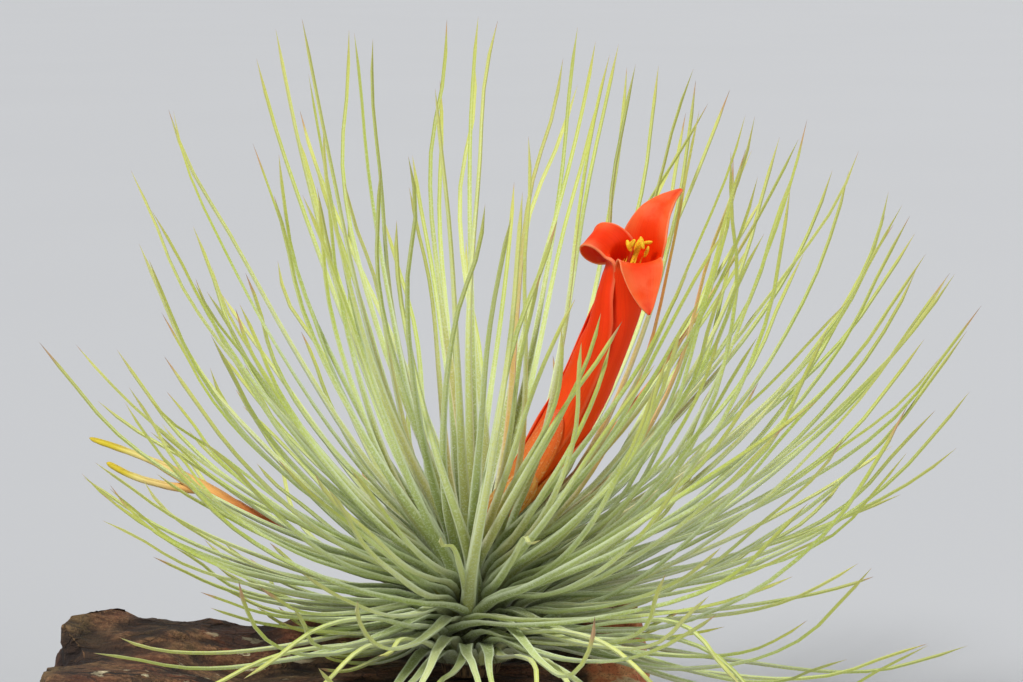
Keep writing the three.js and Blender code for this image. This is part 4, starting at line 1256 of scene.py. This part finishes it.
class AIRPLANT_OT_bark(bpy.types.Operator):
    """Carve the piece of bark that the plant grows on"""
    bl_idname = "airplant.bark"
    bl_label = "Bark"

    def execute(self, context):
        bark = context.scene.airplant_bark
        slab = merged_copy("bark_mount", "bark_slab")
        apply_modifier(slab, "REMESH", mode="VOXEL", voxel_size=bark.grain)
        apply_modifier(slab, "SMOOTH", factor=0.8, iterations=14)
        before = [corner.co.copy() for corner in slab.data.vertices]
        edit(slab)
        for spot, shift, reach in BARK_DENTS:
            heart = Vector(spot) * MM
            shape = bmesh.from_edit_mesh(slab.data)
            nearest = min((corner.co for corner in shape.verts), key=lambda place: (place - heart).length)
            pick_near(slab, nearest.copy(), DENT_CORE)
            bpy.ops.transform.translate(value=Vector(shift) * MM, use_proportional_edit=True,
                                        proportional_size=reach * MM, proportional_edit_falloff="SMOOTH")
        leave_edit()
        displace(slab, "CLOUDS", 14 * MM, bark.relief, (2.2, 1, 1))
        displace(slab, "VORONOI", 11 * MM, 2.2 * MM, (2.4, 1, 1), 0.6,
                 weight_1=-1, weight_2=1, noise_intensity=1.6)
        displace(slab, "CLOUDS", 2.2 * MM, 1.2 * MM, (4, 1, 1), noise_depth=3)
        displace(slab, "CLOUDS", 1.1 * MM, 0.5 * MM, (1.6, 1, 1), noise_depth=2)
        # Painted shade: how far each point sank below the smoothed surface, stored to darken the hollows.
        depths = [max(0, -(corner.co - place).dot(corner.normal) / DARK_DEPTH)
                  for corner, place in zip(slab.data.vertices, before)]
        store(slab, "bark_hollow_shade", [min(1, depth) ** 1.5 for depth in depths])
        edit(slab)
        pick(slab, lambda place: place.z < FLAT_BELOW)
        rescale((1, 1, 0))
        leave_edit()
        smooth(slab, 80)
        finish_piece(slab, bark_material(bark), "bark", "bark_mount")
        return {"FINISHED"}


# ---------- stage ----------

FLOOR_SIZE = 60
FLOOR_DROP = 0.05 * MM  # keeps the floor clear of the bark's flat underside
VIEW_GOAL = seen(9.1, 62.7, 0)  # what the camera looks at


def soft_light(name, place, spread, strength):
    """A soft even light that shines from a place towards the origin."""
    bpy.ops.object.select_all(action="DESELECT")
    bpy.ops.object.light_add(type="SUN", location=place)
    light = bpy.context.object
    light.name = name
    light.data.angle = math.radians(spread)
    light.data.energy = strength
    light.rotation_euler = (-Vector(place)).to_track_quat("-Z", "Y").to_euler()


class AIRPLANT_OT_stage(bpy.types.Operator):
    """Set the floor, the lights and the camera"""
    bl_idname = "airplant.stage"
    bl_label = "Stage"

    def execute(self, context):
        stage, scene = context.scene.airplant_stage, context.scene
        floor = add_primitive(bpy.ops.mesh.primitive_plane_add, "floor", size=FLOOR_SIZE,
                              location=(0, 0, -FLOOR_DROP))
        paint = Paint("floor_pale", roughness=0.85)
        mottle = paint.noise(paint.place(), 3, 2)
        dim = tuple(0.97 * value for value in stage.floor[:3]) + (1,)
        paint.shade = paint.blend(mottle, stage.floor, dim)
        floor.data.materials.append(paint.finish())
        soft_light("key", (-0.45, -0.6, 0.95), 16, stage.key)
        soft_light("fill", (0.8, -0.55, 0.45), 40, stage.fill)
        soft_light("rim", (0.3, 0.8, 0.6), 25, stage.rim)
        scene.world = scene.world or bpy.data.worlds.new("studio")
        scene.world.use_nodes = True
        background = scene.world.node_tree.nodes["Background"]
        background.inputs["Color"].default_value = (0.93, 0.96, 1.0, 1)
        background.inputs["Strength"].default_value = stage.sky
        bpy.ops.object.select_all(action="DESELECT")
        bpy.ops.object.camera_add(location=seen(0, 0, stage.distance / MM))
        camera = scene.camera = context.object
        camera.name = "camera"
        camera.rotation_euler = (VIEW_GOAL - camera.location).to_track_quat("-Z", "Y").to_euler()
        camera.data.lens = stage.lens
        camera.data.clip_start = 0.01
        camera.data.clip_end = 100
        scene.view_settings.view_transform = "Standard"
        return {"FINISHED"}


# ---------- add-on ----------

MAKERS = [
    AIRPLANT_OT_stage, AIRPLANT_OT_bark, AIRPLANT_OT_stem, AIRPLANT_OT_leaves, AIRPLANT_OT_flower_foot,
    AIRPLANT_OT_petals, AIRPLANT_OT_stamens, AIRPLANT_OT_withered_flower,
]
GROUPS = {
    "airplant_leaves": AIRPLANT_PG_leaves,
    "airplant_flower": AIRPLANT_PG_flower,
    "airplant_bark": AIRPLANT_PG_bark,
    "airplant_stage": AIRPLANT_PG_stage,
}


class AIRPLANT_PT_panel(bpy.types.Panel):
    """The plant's settings and makers in the sidebar"""
    bl_label = "Air plant"
    bl_idname = "AIRPLANT_PT_panel"
    bl_space_type = "VIEW_3D"
    bl_region_type = "UI"
    bl_category = "Air plant"

    def draw(self, context):
        for name, group in GROUPS.items():
            box = self.layout.box()
            for key in group.__annotations__:
                box.prop(getattr(context.scene, name), key)
        for maker in MAKERS:
            self.layout.operator(maker.bl_idname)


def register():
    """Registers the settings, the makers and the panel."""
    for kind in [*GROUPS.values(), *MAKERS, AIRPLANT_PT_panel]:
        bpy.utils.register_class(kind)
    for name, group in GROUPS.items():
        setattr(bpy.types.Scene, name, bpy.props.PointerProperty(type=group))


def unregister():
    """Removes what register() added."""
    for name in GROUPS:
        delattr(bpy.types.Scene, name)
    for kind in [AIRPLANT_PT_panel, *MAKERS, *GROUPS.values()]:
        bpy.utils.unregister_class(kind)


def main():
    """Makes the plant and its stage."""
    register()
    for maker in MAKERS:
        group, action = maker.bl_idname.split(".")
        getattr(getattr(bpy.ops, group), action)()


if __name__ == "__main__":
    main()
